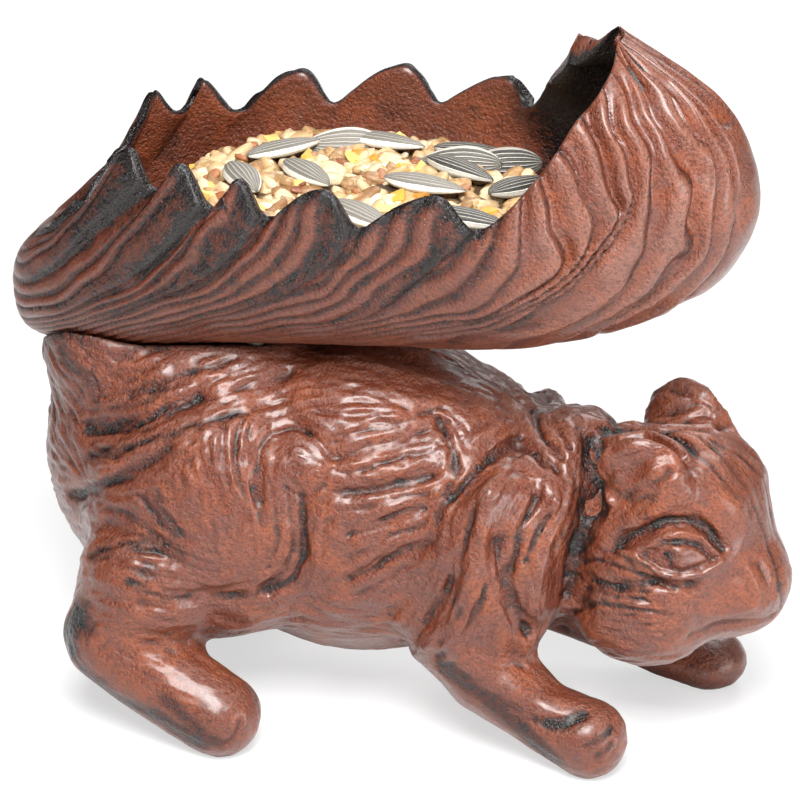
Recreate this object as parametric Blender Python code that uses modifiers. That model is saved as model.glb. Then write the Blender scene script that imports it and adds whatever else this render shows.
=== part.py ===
"""A cast-iron squirrel feeder: a crouching squirrel whose tail arches forward over its back as an open seed tray.

The body is a hollow casting in two halves, held together by two cross screws. The tail tray is a third casting,
seated in a saddle on the back and held by one screw into each half. Loose feed lies in the tray: a bed of small
grain with striped sunflower seeds on top.
Metres, +Z up, +X towards the nose. The squirrel's right side is at -Y. The origin ends up on the ground, under
the middle of the whole feeder.
"""

import math

import bmesh
import bpy
import numpy as np
from mathutils import Matrix, Quaternion, Vector
from mathutils.bvhtree import BVHTree

# Walls and clearances.
BODY_WALL = 0.0042
TRAY_WALL = 0.0036
SEAT_GAP = 0.0003  # between any two pieces that touch
MOULD_VOXEL = 0.0014  # grain of the blended body
TRUNK_SMOOTHING = 22  # passes that round the creases between the large masses
LIMB_SMOOTHING = 5  # passes over the whole body once it has its limbs and ears
BODY_FACES = 6200
CAVITY_FACES = 900
FOLD_DEEPEST = 0.0022  # no fold takes more than this from the body's wall
FOLD_FACING = 0.35  # a fold is at its full height where the skin faces at least this squarely sideways

# The squirrel's masses: centre and half sizes. A mass with a Y place is one of a mirrored pair.
HIPS = ((-0.0400, 0, 0.0500), (0.0365, 0.0305, 0.0370))
BELLY = ((-0.0090, 0, 0.0455), (0.0400, 0.0315, 0.0350))
CHEST = ((0.0110, 0, 0.0455), (0.0245, 0.0262, 0.0290))
RUMP_TOP = ((-0.0590, 0, 0.0740), (0.0175, 0.0215, 0.0200))
NECK = ((0.0375, 0, 0.0465), (0.0200, 0.0195, 0.0222))
HAUNCH = ((-0.0350, 0.0215, 0.0450), (0.0275, 0.0150, 0.0275))
SHOULDER = ((0.0215, 0.0175, 0.0385), (0.0165, 0.0128, 0.0255))
SKULL = ((0.0580, 0, 0.0465), (0.0207, 0.0205, 0.0215))
MUZZLE = ((0.0683, 0, 0.0370), (0.0153, 0.0140, 0.0130))
CHEEK = ((0.0555, 0.0120, 0.0352), (0.0160, 0.0115, 0.0150))
EAR = ((0.0560, 0.0132, 0.0628), (0.0094, 0.0044, 0.0102))
EAR_LEAN_DEG = 18

# The head is turned a little to the squirrel's right, about the neck.
HEAD_PIVOT_X = 0.0430
HEAD_TURN_DEG = -6

# Limbs: points along the middle of each leg, with the radius there. Y is outwards.
HIND_LEG = (((-0.0450, 0.0270, 0.0330), 0.0155), ((-0.0530, 0.0320, 0.0205), 0.0102),
            ((-0.0420, 0.0340, 0.0140), 0.0096))
HIND_PAW = ((-0.0280, 0.0360), 0.0087)
FRONT_LEG = (((0.0160, 0.0170, 0.0290), 0.0130), ((0.0240, 0.0200, 0.0175), 0.0092),
             ((0.0360, 0.0225, 0.0105), 0.0072))
FRONT_PAW = ((0.0463, 0.0240), 0.0084)
LEFT_PAW_SHIFT = (0.0160, -0.0055)  # the left front paw is set this much further forward and in
SOLE_DEPTH = 0.0013  # how far the round paws are ground off flat

# The main folds of the hide, seen from the side and alike on both sides: the width, the height (below zero it is a
# groove) and the X and Z of points along each. The head's are placed as if it looked straight ahead.
TRUNK_FOLDS = (
    (0.0024, -0.0022, ((0.0439, 0.0558), (0.0418, 0.0446), (0.0425, 0.0350))),  # behind the cheek
    (0.0022, -0.0018, ((0.0283, 0.0503), (0.0296, 0.0435), (0.0339, 0.0301))),  # down the shoulder
    (0.0019, -0.0016, ((0.0179, 0.0583), (0.0225, 0.0625), (0.0279, 0.0643))),  # over the shoulder
    (0.0024, 0.0014, ((0.0249, 0.0585), (0.0234, 0.0461), (0.0191, 0.0273))),
    (0.0024, 0.0014, ((0.0256, 0.0604), (0.0290, 0.0619), (0.0373, 0.0566))),
    (0.0024, 0.0012, ((0.0368, 0.0556), (0.0358, 0.0416), (0.0346, 0.0341))),
    (0.0019, -0.0014, ((0.0064, 0.0212), (0.0171, 0.0375), (0.0194, 0.0428))),  # elbow
    (0.0055, 0.0012, ((-0.0136, 0.0628),)),  # boss on the flank, the groove round it and the arc below it
    (0.0017, -0.0012, ((-0.0201, 0.0560), (-0.0212, 0.0647), (-0.0147, 0.0683), (-0.0065, 0.0646))),
    (0.0017, -0.0012, ((-0.0122, 0.0564), (-0.0117, 0.0431), (-0.0185, 0.0351))),
    (0.0017, -0.0010, ((-0.0053, 0.0646), (0.0126, 0.0688))),  # ribs
    (0.0017, -0.0010, ((-0.0041, 0.0583), (0.0130, 0.0610))),
    (0.0017, -0.0010, ((-0.0020, 0.0498), (0.0122, 0.0551))),
    (0.0017, -0.0010, ((-0.0013, 0.0401), (0.0135, 0.0482))),
    (0.0019, -0.0012, ((-0.0592, 0.0624), (-0.0460, 0.0674), (-0.0353, 0.0726))),  # rump
    (0.0019, -0.0012, ((-0.0635, 0.0459), (-0.0503, 0.0563), (-0.0396, 0.0644))),
    (0.0019, -0.0010, ((-0.0476, 0.0337), (-0.0275, 0.0338), (-0.0196, 0.0354))),
)
HEAD_FOLDS = (
    (0.0026, -0.0022, ((0.0430, 0.0640), (0.0452, 0.0600), (0.0456, 0.0558))),  # behind the ear
    (0.0028, 0.0013, ((0.0591, 0.0580), (0.0661, 0.0619), (0.0736, 0.0575))),  # brow
    (0.0018, -0.0014, ((0.0523, 0.0494), (0.0620, 0.0562), (0.0685, 0.0554), (0.0726, 0.0505))),  # eye's lids
    (0.0030, 0.0010, ((0.0651, 0.0494),)),
    (0.0018, 0.0010, ((0.0529, 0.0487), (0.0620, 0.0460), (0.0699, 0.0457), (0.0729, 0.0475))),
    (0.0026, -0.0016, ((0.0539, 0.0661), (0.0571, 0.0688), (0.0607, 0.0695))),  # inside of the ear
    (0.0018, -0.0010, ((0.0427, 0.0401), (0.0556, 0.0421), (0.0612, 0.0436))),  # cheek
    (0.0018, -0.0008, ((0.0814, 0.0332), (0.0772, 0.0334), (0.0686, 0.0325))),  # mouth
)

# The tail tray: the keel and the two rims, station by station from the back notch to the curled tip.
KEEL = ((-0.0735, 0, 0.0990), (-0.0810, 0, 0.0920), (-0.0830, 0, 0.0830), (-0.0790, 0, 0.0740),
        (-0.0620, 0, 0.0730), (-0.0300, 0, 0.0780), (0.0000, 0, 0.0810), (0.0280, 0, 0.0840),
        (0.0518, 0, 0.0914), (0.0672, 0, 0.1025), (0.0725, 0, 0.1180), (0.0655, 0, 0.1360),
        (0.0450, 0, 0.1490))
RIGHT_RIM = ((-0.0725, -0.0030, 0.1000), (-0.0650, -0.0130, 0.1080), (-0.0540, -0.0205, 0.1150),
             (-0.0420, -0.0270, 0.1160), (-0.0270, -0.0320, 0.1155), (-0.0080, -0.0345, 0.1155),
             (0.0110, -0.0345, 0.1160), (0.0250, -0.0330, 0.1185), (0.0350, -0.0275, 0.1290),
             (0.0408, -0.0205, 0.1390), (0.0440, -0.0145, 0.1435), (0.0448, -0.0080, 0.1465),
             (0.0440, -0.0030, 0.1505))
LEFT_RIM = ((-0.0725, 0.0030, 0.1000), (-0.0670, 0.0130, 0.1065), (-0.0590, 0.0210, 0.1130),
            (-0.0470, 0.0280, 0.1145), (-0.0300, 0.0330, 0.1155), (-0.0090, 0.0345, 0.1180),
            (0.0090, 0.0340, 0.1180), (0.0190, 0.0310, 0.1200), (0.0255, 0.0250, 0.1310),
            (0.0300, 0.0190, 0.1385), (0.0325, 0.0145, 0.1437), (0.0375, 0.0080, 0.1450),
            (0.0425, 0.0030, 0.1500))
HOOD_START = 6  # past this station the rims begin to curl in over the seed
HOOD_FULL = 10  # and from this station on they curl in fully
HOOD_ARC_DEG = 125  # how far round the hood's wall goes, from the keel to the rim

# Rim teeth: the place of each tip along the rim and of the notch after it, as the rim's X.
RIGHT_TEETH = ((-0.0505, -0.0450), (-0.0376, -0.0310), (-0.0239, -0.0190), (-0.0054, 0.0005), (0.0167, 0.0243))
LEFT_TEETH = ((-0.0591, -0.0560), (-0.0508, -0.0450), (-0.0301, -0.0240), (-0.0076, -0.0010), (0.0158, 0.0210))
FIRST_TOOTH_RUN = 0.0080  # how far before its tip the first tooth begins
TOOTH_HEIGHT = 0.0082
TRAY_RINGS = 72
TRAY_STEPS = 9  # from the keel to one rim

# The locks of hair on the tray's outside. Each row is the line where one laps over the next: its place along the
# tail, from 0 to 1, at these heights from the keel to the rim. Five of them end at the rim's notches.
LOCK_HEIGHTS = (0, 0.3, 0.5, 0.7, 1)
LOCK_LINES = (
    (-0.10, -0.07, -0.05, -0.03, -0.02), (0.02, 0.05, 0.07, 0.09, 0.10), (0.12, 0.155, 0.185, 0.198, 0.213),
    (0.18, 0.23, 0.265, 0.295, 0.300), (0.22, 0.275, 0.305, 0.352, 0.362), (0.27, 0.325, 0.365, 0.430, 0.450),
    (0.33, 0.385, 0.445, 0.510, 0.577), (0.38, 0.45, 0.52, 0.69, 0.705), (0.43, 0.50, 0.555, 0.775, 0.835),
    (0.48, 0.56, 0.70, 0.833, 0.89), (0.53, 0.62, 0.815, 0.875, 0.95), (0.57, 0.67, 0.91, 0.95, 1.03),
    (0.62, 0.94, 0.985, 1.00, 1.08), (0.95, 1.03, 1.06, 1.08, 1.12), (1.20, 1.26, 1.28, 1.30, 1.33))
FIRST_TOOTH_LOCK = 2  # the row that ends at the first notch
LOCK_LAP = 0.0016  # how far a lock stands over the next along the bowl, at the rim
HOOD_FOLD = 0.0013  # how deep the grooves between the hood's locks are
HOOD_BLEND = (0.60, 0.68)  # between these places along the tail the hood's kind of locks takes over
LOCKS_FADE = (0.88, 0.95)  # and between these they fade out before the tip
LAP_RISE = (0.3, 0.9)  # from the keel to the rim, the laps grow between these heights
HOOD_RISE = (0.05, 0.3)  # and the hood's grooves between these
LAP_FRONT = 0.88  # the share of a lock's width after which it drops to the next

# Screws. The body screws run across, from the left side; the tray screws run down through the tray's floor.
BODY_SCREW_PLACES = {"rear": (-0.0400, 0.0540), "front": (0.0200, 0.0420)}
BODY_SCREW_RADIUS = 0.0020
BODY_SCREW_HEAD_RADIUS = 0.0040
BODY_SCREW_HEAD_SINK = 0.0010
BODY_SCREW_GRIP = 0.0100  # how far it reaches into the right half
TRAY_SCREW_X = -0.0280
TRAY_SCREW_Y = 0.0100
TRAY_SCREW_RADIUS = 0.0020
TRAY_SCREW_HEAD_RADIUS = 0.0036
TRAY_SCREW_HEAD_HEIGHT = 0.0024
TRAY_SCREW_GRIP = 0.0090
TRAY_PAD_RADIUS = 0.0062
TRAY_PAD_RISE = 0.0012  # above the floor, at the middle of the pad
WASHER_RADIUS = 0.0048
WASHER_THICKNESS = 0.0010
BOSS_WALL = 0.0030  # metal round a screw hole
BLIND_END = 0.0020  # metal and air past a screw's end
SLOT_WIDTH = 0.0008
SLOT_DEPTH = 0.0008
SPOT_MARGIN = 0.0006  # round a washer
SADDLE_LID = 0.0200  # how far the saddle's cut is carried up past the rims
BODY_REACH = 0.0800  # past either side of the body
ROUND_SIDES = 20

# The loose feed: the bed of grain, and the place and turn of each sunflower seed on it.
BED_TOP = 0.1105
BED_CROWN = 0.0020
BED_CENTRE = (-0.0090, 0.0000)
BED_HALF_SIZES = (0.0430, 0.0400)
BED_SHOULDER = 0.80  # how far out, as a share of the half sizes, the top begins to fall away
BED_FALL = 0.0080  # how far it falls from there to the edge
LIFT_CLEARANCE = 0.0010  # beside the rims, all the way up as the feed is lifted out
LIFT_LEAST_WIDTH = 0.0120  # where the rims are closer than this, no feed lies between them
SEED_LENGTH = 0.0165
SEED_WIDTH = 0.0066
SEED_THICKNESS = 0.0034
SEED_POINT = 0.25  # how much narrower its pointed end is than its middle
SEEDS = ((0.0052, -0.0014, -2), (0.0230, 0.0065, 57), (0.0096, 0.0090, -24), (-0.0275, 0.0115, 44),
         (-0.0185, -0.0025, -42), (-0.0090, 0.0200, -6), (-0.0023, -0.0195, -30), (0.0096, 0.0210, 10),
         (0.0175, -0.0135, 0), (-0.0305, -0.0065, -54))

cast_collection = None
cutter_collection = None


def start_scene():
    """Empties the scene and makes the two collections."""
    global cast_collection, cutter_collection
    for old in list(bpy.data.objects):
        bpy.data.objects.remove(old, do_unlink=True)
    cast_collection = bpy.data.collections.new("squirrel_feeder")
    cutter_collection = bpy.data.collections.new("cutters")
    bpy.context.scene.collection.children.link(cast_collection)
    bpy.context.scene.collection.children.link(cutter_collection)


def finish(name, colour, roughness, metallic):
    """A plain material in the part's own colour."""
    material = bpy.data.materials.new(name)
    material.use_nodes = True
    shader = material.node_tree.nodes["Principled BSDF"]
    shader.inputs["Base Color"].default_value = (*colour, 1)
    shader.inputs["Roughness"].default_value = roughness
    shader.inputs["Metallic"].default_value = metallic
    return material


def mesh_from(bm, name):
    mesh = bpy.data.meshes.new(name)
    bmesh.ops.recalc_face_normals(bm, faces=bm.faces)
    bm.to_mesh(mesh)
    bm.free()
    return mesh


def add_part(name, mesh, material, parent, origin=(0.0, 0.0, 0.0), turn=None):
    """A finished piece in the feeder's collection, its mesh drawn about its own origin."""
    part = bpy.data.objects.new(name, mesh)
    cast_collection.objects.link(part)
    mesh.materials.clear()
    mesh.materials.append(material)
    mesh.shade_smooth()
    mesh.set_sharp_from_angle(angle=math.radians(40))
    part.parent = parent
    part.location = Vector(origin)
    if turn:
        part.rotation_mode = "QUATERNION"
        part.rotation_quaternion = turn
    return part


def add_cutter(name, mesh):
    cutter = bpy.data.objects.new(name, mesh)
    cutter.hide_render = True
    cutter.display_type = "WIRE"
    cutter_collection.objects.link(cutter)
    return cutter


def evaluated(obj):
    """The object's mesh with its modifiers carried out."""
    bpy.context.view_layer.update()
    graph = bpy.context.evaluated_depsgraph_get()
    return bpy.data.meshes.new_from_object(obj.evaluated_get(graph), depsgraph=graph)


def combine(mesh, other, operation):
    """One mesh cut by, joined to or kept inside another."""
    base = add_cutter("work_piece", mesh)
    tool = add_cutter("work_tool", other)
    step = base.modifiers.new(operation, "BOOLEAN")
    step.operation = operation
    step.solver = "EXACT"
    step.object = tool
    result = evaluated(base)
    bpy.data.objects.remove(base)
    bpy.data.objects.remove(tool)
    return result


def blend_masses(bm, smoothing):
    """Melts overlapping masses into one smooth closed skin."""
    base = add_cutter("work_masses", mesh_from(bm, "masses"))
    remesh = base.modifiers.new("Mould", "REMESH")
    remesh.mode = "VOXEL"
    remesh.voxel_size = MOULD_VOXEL
    smooth = base.modifiers.new("Round", "SMOOTH")
    smooth.factor = 0.5
    smooth.iterations = smoothing
    result = evaluated(base)
    bpy.data.objects.remove(base)
    return result


def thinned(mesh, faces):
    """The same skin of quads with only about so many triangles."""
    base = add_cutter("work_skin", mesh)
    thin = base.modifiers.new("Thin", "DECIMATE")
    thin.ratio = faces / (2 * len(mesh.polygons))
    result = evaluated(base)
    bpy.data.objects.remove(base)
    return result


def head_turn():
    """The turn of the head about an upright line through the neck."""
    pivot = Vector((HEAD_PIVOT_X, 0, 0))
    turn = Matrix.Rotation(math.radians(HEAD_TURN_DEG), 4, "Z")
    return Matrix.Translation(pivot) @ turn @ Matrix.Translation(-pivot)


def add_mass(bm, mass, side=1, shrink=0.0, frame=None, lean_deg=0.0):
    """An ellipsoid, on one side or in the middle, made smaller all round by shrink."""
    centre, halves = mass
    place = Matrix.Translation((centre[0], side * centre[1], centre[2]))
    lean = Matrix.Rotation(math.radians(-side * lean_deg), 4, "X")
    size = Matrix.Diagonal((halves[0] - shrink, halves[1] - shrink, halves[2] - shrink, 1))
    frame = frame or Matrix.Identity(4)
    bmesh.ops.create_uvsphere(bm, u_segments=28, v_segments=18, radius=1, matrix=frame @ place @ lean @ size)


def add_limb(bm, stations, paw, side, shift=(0.0, 0.0)):
    """A tapered limb: a ball at each station and a cone between one and the next, down to the paw's ball."""
    (paw_x, paw_y), paw_radius = paw
    points = [Vector((x, side * y, z)) for (x, y, z), _ in stations]
    points.append(Vector((paw_x, side * paw_y, paw_radius - SOLE_DEPTH)))
    radii = [radius for _, radius in stations] + [paw_radius]
    last = len(points) - 1
    for index, point in enumerate(points):
        point.x += shift[0] * index / last
        point.y += side * shift[1] * index / last
        bmesh.ops.create_uvsphere(bm, u_segments=20, v_segments=12, radius=radii[index],
                                  matrix=Matrix.Translation(point))
    for index in range(last):
        along = points[index + 1] - points[index]
        turn = along.to_track_quat("Z", "Y").to_matrix().to_4x4()
        place = Matrix.Translation((points[index] + points[index + 1]) / 2)
        bmesh.ops.create_cone(bm, cap_ends=True, segments=20, radius1=radii[index], radius2=radii[index + 1],
                              depth=along.length, matrix=place @ turn)


def outer_body():
    """The whole squirrel without its tail, as one solid: the smooth trunk and head first, then what is finer."""
    bm = bmesh.new()
    for mass in (HIPS, BELLY, CHEST, RUMP_TOP, NECK):
        add_mass(bm, mass)
    for mass in (SKULL, MUZZLE):
        add_mass(bm, mass, frame=head_turn())
    for side in (-1, 1):
        add_mass(bm, HAUNCH, side)
        add_mass(bm, SHOULDER, side)
        add_mass(bm, CHEEK, side, frame=head_turn())
    trunk = blend_masses(bm, TRUNK_SMOOTHING)
    bm = bmesh.new()
    for side in (-1, 1):
        add_mass(bm, EAR, side, frame=head_turn(), lean_deg=EAR_LEAN_DEG)
        add_limb(bm, HIND_LEG, HIND_PAW, side)
        add_limb(bm, FRONT_LEG, FRONT_PAW, side, LEFT_PAW_SHIFT if side > 0 else (0.0, 0.0))
    bm.from_mesh(trunk)
    body = blend_masses(bm, LIMB_SMOOTHING)
    press_folds(body)
    return thinned(body, BODY_FACES)


def distance_to_line(places, line):
    """How far each place is from a line drawn through these points, or from a single point."""
    line = np.array(line)
    nearest = np.linalg.norm(places - line[0], axis=1)
    for start, end in zip(line, line[1:]):
        along = end - start
        share = np.clip((places - start) @ along / (along @ along), 0, 1)
        nearest = np.minimum(nearest, np.linalg.norm(places - start - share[:, None] * along, axis=1))
    return nearest


def press_folds(mesh):
    """Moves the skin in and out by the folds.

    Each adds its height times exp(-(distance / width)^2), the distance seen from the side, and does so less where
    the skin doesn't face sideways.
    """
    points = np.empty(3 * len(mesh.vertices))
    normals = np.empty_like(points)
    mesh.vertices.foreach_get("co", points)
    mesh.vertices.foreach_get("normal", normals)
    points = points.reshape(-1, 3)
    normals = normals.reshape(-1, 3)
    height = np.zeros(len(points))
    for folds, turn in ((TRUNK_FOLDS, Matrix.Identity(4)), (HEAD_FOLDS, head_turn())):
        straighten = np.array(turn.inverted())
        straight = points @ straighten[:3, :3].T + straighten[:3, 3]
        sideways = (normals @ straighten[:3, :3].T)[:, 1] * np.sign(straight[:, 1])
        share = np.clip(sideways / FOLD_FACING, 0, 1)
        for width, rise, line in folds:
            height += share * rise * np.exp(-(distance_to_line(straight[:, [0, 2]], line) / width) ** 2)
    points += normals * np.maximum(height, -FOLD_DEEPEST)[:, None]
    mesh.vertices.foreach_set("co", points.ravel())


def body_hollow():
    """The space inside the casting: its main masses, a wall smaller."""
    bm = bmesh.new()
    for mass in (HIPS, BELLY, CHEST, NECK):
        add_mass(bm, mass, shrink=BODY_WALL)
    add_mass(bm, SKULL, shrink=BODY_WALL, frame=head_turn())
    return thinned(blend_masses(bm, TRUNK_SMOOTHING), CAVITY_FACES)


def box_mesh(low, high):
    low = Vector(low)
    high = Vector(high)
    bm = bmesh.new()
    size = high - low
    place = Matrix.Translation((low + high) / 2) @ Matrix.Diagonal((size.x, size.y, size.z, 1))
    bmesh.ops.create_cube(bm, size=1, matrix=place)
    return mesh_from(bm, "box")


def rod_mesh(start, end, radius, end_radius=None):
    """A cylinder, or a cone, from one point to another."""
    start = Vector(start)
    end = Vector(end)
    along = end - start
    turn = along.to_track_quat("Z", "Y").to_matrix().to_4x4()
    bm = bmesh.new()
    bmesh.ops.create_cone(bm, cap_ends=True, segments=ROUND_SIDES, radius1=radius,
                          radius2=radius if end_radius is None else end_radius, depth=along.length,
                          matrix=Matrix.Translation((start + end) / 2) @ turn)
    return mesh_from(bm, "rod")


def curve_through(stations, count):
    """A smooth curve through the stations, with stations a unit apart along it."""
    stations = np.array(stations)
    last = len(stations) - 1
    place = np.linspace(0, last, count)
    first = np.minimum(place.astype(int), last - 1)
    part = (place - first)[:, None]
    before = stations[np.maximum(first - 1, 0)]
    after = stations[np.minimum(first + 2, last)]
    start = stations[first]
    end = stations[first + 1]
    return (start + part * (end - before) / 2 + part ** 2 * (before - 2.5 * start + 2 * end - after / 2)
            + part ** 3 * (1.5 * (start - end) + (after - before) / 2))


def tooth_heights(rim_x, teeth):
    """Saw teeth that swell up towards the front and drop straight after each tip."""
    places = [teeth[0][0] - FIRST_TOOTH_RUN]
    shares = [0.0]
    for tip, notch in teeth:
        places += [tip, notch]
        shares += [1.0, 0.0]
    share = np.interp(rim_x, places, shares)
    past_tip = np.any([(rim_x > tip) & (rim_x < notch) for tip, notch in teeth], axis=0)
    return TOOTH_HEIGHT * np.where(past_tip, share, np.sin(math.pi / 2 * share))


def hood_arcs():
    """How far round each ring goes: a quarter turn along the bowl, and more where the hood curls in."""
    stations = np.arange(len(KEEL))
    curl = np.clip((stations - HOOD_START) / (HOOD_FULL - HOOD_START), 0, 1)
    degrees = 90 + (HOOD_ARC_DEG - 90) * curl
    return np.radians(curve_through(degrees[:, None], TRAY_RINGS))


def tray_skin(inset=0.0, toothed=False):
    """The tray's skin as a grid of points: rings along the tail, each from the right rim round to the left.

    Each half ring is a quarter of an ellipse from the keel to the rim, or more of it in the hood, where the rim
    curls in. The skin is moved inwards along its own normals by inset.
    """
    keel = curve_through(KEEL, TRAY_RINGS)
    arc_end = hood_arcs()
    halves = []
    for rim_stations, teeth in ((RIGHT_RIM, RIGHT_TEETH), (LEFT_RIM, LEFT_TEETH)):
        rim = curve_through(rim_stations, TRAY_RINGS)
        reach = np.linspace(0, 1, TRAY_STEPS + 1)
        arc = arc_end * reach
        out = np.sin(arc) / np.sin(arc_end)
        up = (1 - np.cos(arc)) / (1 - np.cos(arc_end))
        span = rim - keel
        points = np.empty((TRAY_RINGS, TRAY_STEPS + 1, 3))
        points[..., 0] = keel[:, 0:1] + span[:, 0:1] * up
        points[..., 1] = span[:, 1:2] * out
        points[..., 2] = keel[:, 2:3] + span[:, 2:3] * up
        if toothed:
            points[..., 2] += tooth_heights(rim[:, 0], teeth)[:, None] * reach ** 5
        halves.append(points)
    skin = np.concatenate([halves[0][:, ::-1], halves[1][:, 1:]], axis=1)
    return skin + inset * inward_normals(skin)


def inward_normals(skin):
    """The way into the tray from each point of a grid of its skin."""
    inward = np.cross(np.gradient(skin, axis=0), np.gradient(skin, axis=1))
    return inward / np.linalg.norm(inward, axis=2, keepdims=True)


def smooth_step(values, low, high):
    """0 up to low, 1 from high on, and 3t^2 - 2t^3 between."""
    part = np.clip((values - low) / (high - low), 0, 1)
    return part * part * (3 - 2 * part)


def lock_depths():
    """How far each point of the tray's skin is pressed in, so that the locks of hair stand out.

    Along the bowl a lock rises towards its front edge and drops there to the next one's start, more so near the
    rim. Round the hood the locks are rounded ridges with grooves between. All of it ends above the keel.
    """
    along = np.linspace(0, 1, TRAY_RINGS)
    reach = np.linspace(0, 1, TRAY_STEPS + 1)
    hood = smooth_step(along, *HOOD_BLEND)[:, None]
    sides = []
    for rim_stations, teeth in ((RIGHT_RIM, RIGHT_TEETH), (LEFT_RIM, LEFT_TEETH)):
        rim_x = curve_through(rim_stations, TRAY_RINGS)[:, 0]
        bowl_rim = rim_x[along < HOOD_BLEND[0]]
        lines = np.array(LOCK_LINES)
        for row, (_, notch) in enumerate(teeth, FIRST_TOOTH_LOCK):
            notch_place = np.interp(notch, bowl_rim, along[:len(bowl_rim)])
            lines[row] += (notch_place - lines[row, -1]) * np.array(LOCK_HEIGHTS)
        lock = np.empty((TRAY_RINGS, TRAY_STEPS + 1))
        for step, height in enumerate(reach):
            places = [np.interp(height, LOCK_HEIGHTS, line) for line in lines]
            lock[:, step] = np.interp(along, places, np.arange(len(lines)))
        part = lock % 1
        lap = part * (1 - smooth_step(part, LAP_FRONT, 1.0))
        ridge = np.sin(np.pi * part) ** 0.7
        depth = LOCK_LAP * (1 - lap) * smooth_step(reach, *LAP_RISE) * (1 - hood)
        depth += HOOD_FOLD * (1 - ridge) * smooth_step(reach, *HOOD_RISE) * hood
        sides.append(depth * (1 - smooth_step(along, *LOCKS_FADE))[:, None])
    return np.concatenate([sides[0][:, ::-1], sides[1][:, 1:]], axis=1)


def grid_faces(bm, rows):
    """Quads between neighbouring rows of vertices."""
    for row, next_row in zip(rows, rows[1:]):
        for index in range(len(row) - 1):
            bm.faces.new((row[index], row[index + 1], next_row[index + 1], next_row[index]))


def tray_envelope(inset, rise=0.0, toothed=False):
    """Everything inside the tray's skin, closed by a lid this much above the rims."""
    skin = tray_skin(inset, toothed)
    bm = bmesh.new()
    rows = []
    for ring in skin:
        row = [bm.verts.new(point) for point in ring]
        if rise:
            row.insert(0, bm.verts.new(ring[0] + np.array((0, 0, rise))))
            row.append(bm.verts.new(ring[-1] + np.array((0, 0, rise))))
        row.append(row[0])
        rows.append(row)
    grid_faces(bm, rows)
    for row in (rows[0], rows[-1]):
        bm.faces.new(row[:-1])
    bmesh.ops.triangulate(bm, faces=bm.faces)
    return mesh_from(bm, "envelope")


def tray_shell():
    """The cast tray: its toothed skin given a wall on the inside, and the locks of hair pressed into the outside."""
    skin = tray_skin(toothed=True)
    bm = bmesh.new()
    rows = [[bm.verts.new(point) for point in ring] for ring in skin]
    grid_faces(bm, rows)
    mesh = bpy.data.meshes.new("tray_skin")
    bm.to_mesh(mesh)
    bm.free()
    base = add_cutter("work_tray", mesh)
    wall = base.modifiers.new("Wall", "SOLIDIFY")
    wall.thickness = TRAY_WALL
    wall.offset = -1
    wall.use_even_offset = True
    wall.use_quality_normals = True
    shell = evaluated(base)
    bpy.data.objects.remove(base)
    pressed = skin + lock_depths()[..., None] * inward_normals(skin)
    for vert, point in zip(shell.vertices, pressed.reshape(-1, 3)):  # the outer skin's points come first
        vert.co = point
    return shell


def surface_hit(mesh, start, direction):
    """Where a straight line first meets a mesh."""
    bm = bmesh.new()
    bm.from_mesh(mesh)
    hit = BVHTree.FromBMesh(bm).ray_cast(Vector(start), Vector(direction))[0]
    bm.free()
    return hit


def outline_solid(outline, low, high):
    """A flat outline in plan, made a solid from one height to another."""
    curve = bpy.data.curves.new("outline", "CURVE")
    curve.dimensions = "2D"
    curve.fill_mode = "BOTH"
    curve.extrude = (high - low) / 2
    spline = curve.splines.new("POLY")
    spline.points.add(len(outline) - 1)
    for point, (x, y) in zip(spline.points, outline):
        point.co = (x, y, 0, 1)
    spline.use_cyclic_u = True
    drawn = bpy.data.objects.new("outline", curve)
    drawn.location.z = (low + high) / 2
    cutter_collection.objects.link(drawn)
    mesh = evaluated(drawn)
    mesh.transform(drawn.matrix_world)
    bpy.data.objects.remove(drawn)
    bm = bmesh.new()
    bm.from_mesh(mesh)
    bmesh.ops.remove_doubles(bm, verts=bm.verts, dist=1e-6)
    return mesh_from(bm, "outline_solid")


def half_space(side):
    """Everything on one side of the joint between the halves, which follows the turned head's middle."""
    edge = -side * SEAT_GAP / 2
    reach = 3 * BODY_REACH
    turn = math.radians(HEAD_TURN_DEG)
    nose_end = (HEAD_PIVOT_X + reach * math.cos(turn), edge + reach * math.sin(turn))
    outline = [(-reach, edge), (HEAD_PIVOT_X, edge), nose_end, (nose_end[0], side * reach), (-reach, side * reach)]
    return outline_solid(outline, -reach, reach)


def turned(profile):
    """A turned solid about Z, from a profile of radius and height that runs top to bottom."""
    mesh = bpy.data.meshes.new("profile")
    points = [(radius, 0, height) for radius, height in profile]
    mesh.from_pydata(points, [(index, index + 1) for index in range(len(points) - 1)], [])
    base = add_cutter("work_profile", mesh)
    spin = base.modifiers.new("Turn", "SCREW")
    spin.steps = ROUND_SIDES
    spin.render_steps = ROUND_SIDES
    spin.use_merge_vertices = True
    spin.merge_threshold = 1e-6
    result = evaluated(base)
    bpy.data.objects.remove(base)
    bm = bmesh.new()
    bm.from_mesh(result)
    bmesh.ops.remove_doubles(bm, verts=bm.verts, dist=1e-7)
    return mesh_from(bm, "turned")


def slotted(mesh, head_radius):
    """A screw driver slot across a head whose top is at height 0."""
    half = head_radius * 1.2
    slot = box_mesh((-half, -SLOT_WIDTH / 2, -SLOT_DEPTH), (half, SLOT_WIDTH / 2, SLOT_DEPTH))
    return combine(mesh, slot, "DIFFERENCE")


def countersunk_screw(length):
    """A screw with a countersunk head: its flat top at height 0, its shank going down."""
    head_depth = BODY_SCREW_HEAD_RADIUS - BODY_SCREW_RADIUS
    profile = [(0, 0), (BODY_SCREW_HEAD_RADIUS, 0), (BODY_SCREW_RADIUS, -head_depth),
               (BODY_SCREW_RADIUS, -length), (0, -length)]
    return slotted(turned(profile), BODY_SCREW_HEAD_RADIUS)


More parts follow.
